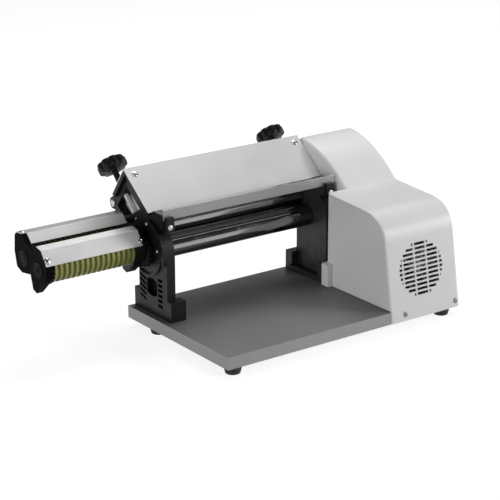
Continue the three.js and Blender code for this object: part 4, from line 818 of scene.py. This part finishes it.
# ---------------------------------------------------------------- motor with cooling fins
MOTOR_RADIUS, MOTOR_END_RADIUS, MOTOR_BORE = 39, 41.5, 6.6
MOTOR_END = 12
FIN_COUNT = 36
FIN = ((38.6, -1.1), (42.7, -0.7), (42.7, 0.7), (38.6, 1.1))     # (radius, distance to the side)
low, high = node_box("motor_body")
at = Vector((middle("motor_body").x, 0, middle("motor_body").z))
a, b = low.y, high.y
profile = corner([(a, MOTOR_BORE), (a, 30), (a + 3, 41), (a + MOTOR_END, MOTOR_END_RADIUS),
                  (a + MOTOR_END, MOTOR_RADIUS), (b - MOTOR_END, MOTOR_RADIUS),
                  (b - MOTOR_END, MOTOR_END_RADIUS), (b - 3, 41), (b, 34), (b, MOTOR_BORE)], 2)
shape = Shape().lathe(at, Y, profile, 64, wrap=True)
for angle in circle(FIN_COUNT):
    u = Vector((math.cos(angle), 0, math.sin(angle)))
    v = Vector((-math.sin(angle), 0, math.cos(angle)))
    shape.loft([[at + Y * y + u * r + v * aside for r, aside in FIN]
                for y in (a + MOTOR_END + 0.5, b - MOTOR_END - 0.5)])
shape.make("motor_body_detail", "frame", cast_dark, "motor", ("motor_body",), width=0.2)

# ---------------------------------------------------------------- cooling fan
BLADE_COUNT, BLADE_STEPS = 7, 5
HUB_RADIUS, HUB_BORE, BLADE_ROOT, BLADE_TIP = 14, 6.4, 12.5, 48.3
BLADE_CHORD, CHORD_GROWTH = 5.2, 1.2
BLADE_LEAN, LEAN_GROWTH = 35, 4
BLADE_HALF_THICKNESS, BLADE_BOW = 0.9, 0.9
low, high = node_box("cooling_fan")
centre = middle("cooling_fan")
a, b = low.y, high.y
hub = corner([(a, HUB_BORE), (a, BLADE_ROOT), (a + 1.5, HUB_RADIUS), (b, HUB_RADIUS), (b, HUB_BORE)], 0.8)
shape = Shape().lathe((centre.x, 0, centre.z), Y, hub, 40, wrap=True)
middle_point = Vector((centre.x, (a + b) / 2, centre.z))
for angle in circle(BLADE_COUNT):
    u = Vector((math.cos(angle), 0, -math.sin(angle)))
    v = Vector((math.sin(angle), 0, math.cos(angle)))
    rings = []
    for k in range(BLADE_STEPS + 1):
        r = BLADE_ROOT + (BLADE_TIP - BLADE_ROOT) * k / BLADE_STEPS
        chord = BLADE_CHORD + CHORD_GROWTH * k / BLADE_STEPS
        lean = math.radians(BLADE_LEAN + LEAN_GROWTH * k / BLADE_STEPS)
        ring = []
        for along, skin in ((-1, -1), (0, -1), (1, -1), (1, 1), (0, 1), (-1, 1)):
            c = along * chord * 0.9
            off = skin * BLADE_HALF_THICKNESS + (BLADE_BOW if along == 0 else 0)
            dy = c * math.cos(lean) * 0.85 - off * math.sin(lean)
            dt = c * math.sin(lean) + off * math.cos(lean)
            ring.append(middle_point + u * r + v * dt + Y * dy)
        rings.append(ring)
    shape.loft(rings)
shape.make("cooling_fan_detail", "motor_rotor", fan_grey, "motor", ("cooling_fan",), width=0.2)

# ---------------------------------------------------------------- switch marks and inlet pins
low, high = node_box("switch_rocker")
mid = (low + high) / 2
x = high.x - 0.8
Shape().box((x, mid.y - 0.7, mid.z + 4.2), (high.x - 0.35, mid.y + 0.7, mid.z + 9.2)).make(
    "mark_on", "rocker", mark_white, "switch", width=0.1)
mark = [(0, 1.7), (0.45, 1.7), (0.45, 2.8), (0, 2.8)]
Shape().lathe((x, mid.y, mid.z - 6.8), X, mark, 32, wrap=True).make(
    "mark_off", "rocker", mark_white, "switch")
SOCKET_DEPTH, PIN_LENGTH = 20, 9.4
PIN_HALF_WIDTH, PIN_HALF_HEIGHT = 1.15, 2.15
low, high = node_box("power_inlet")
mid = (low + high) / 2
floor_y = high.y - SOCKET_DEPTH
for i, (dx, dz) in enumerate(((-7, -2), (0, 2), (7, -2))):
    x, z = mid.x + dx, mid.z + dz
    Shape().box((x - PIN_HALF_WIDTH, floor_y - 0.3, z - PIN_HALF_HEIGHT),
                (x + PIN_HALF_WIDTH, floor_y + PIN_LENGTH, z + PIN_HALF_HEIGHT)).make(
        f"inlet_pin_{i + 1}", "frame", bright_screw, "switch", width=0.5)
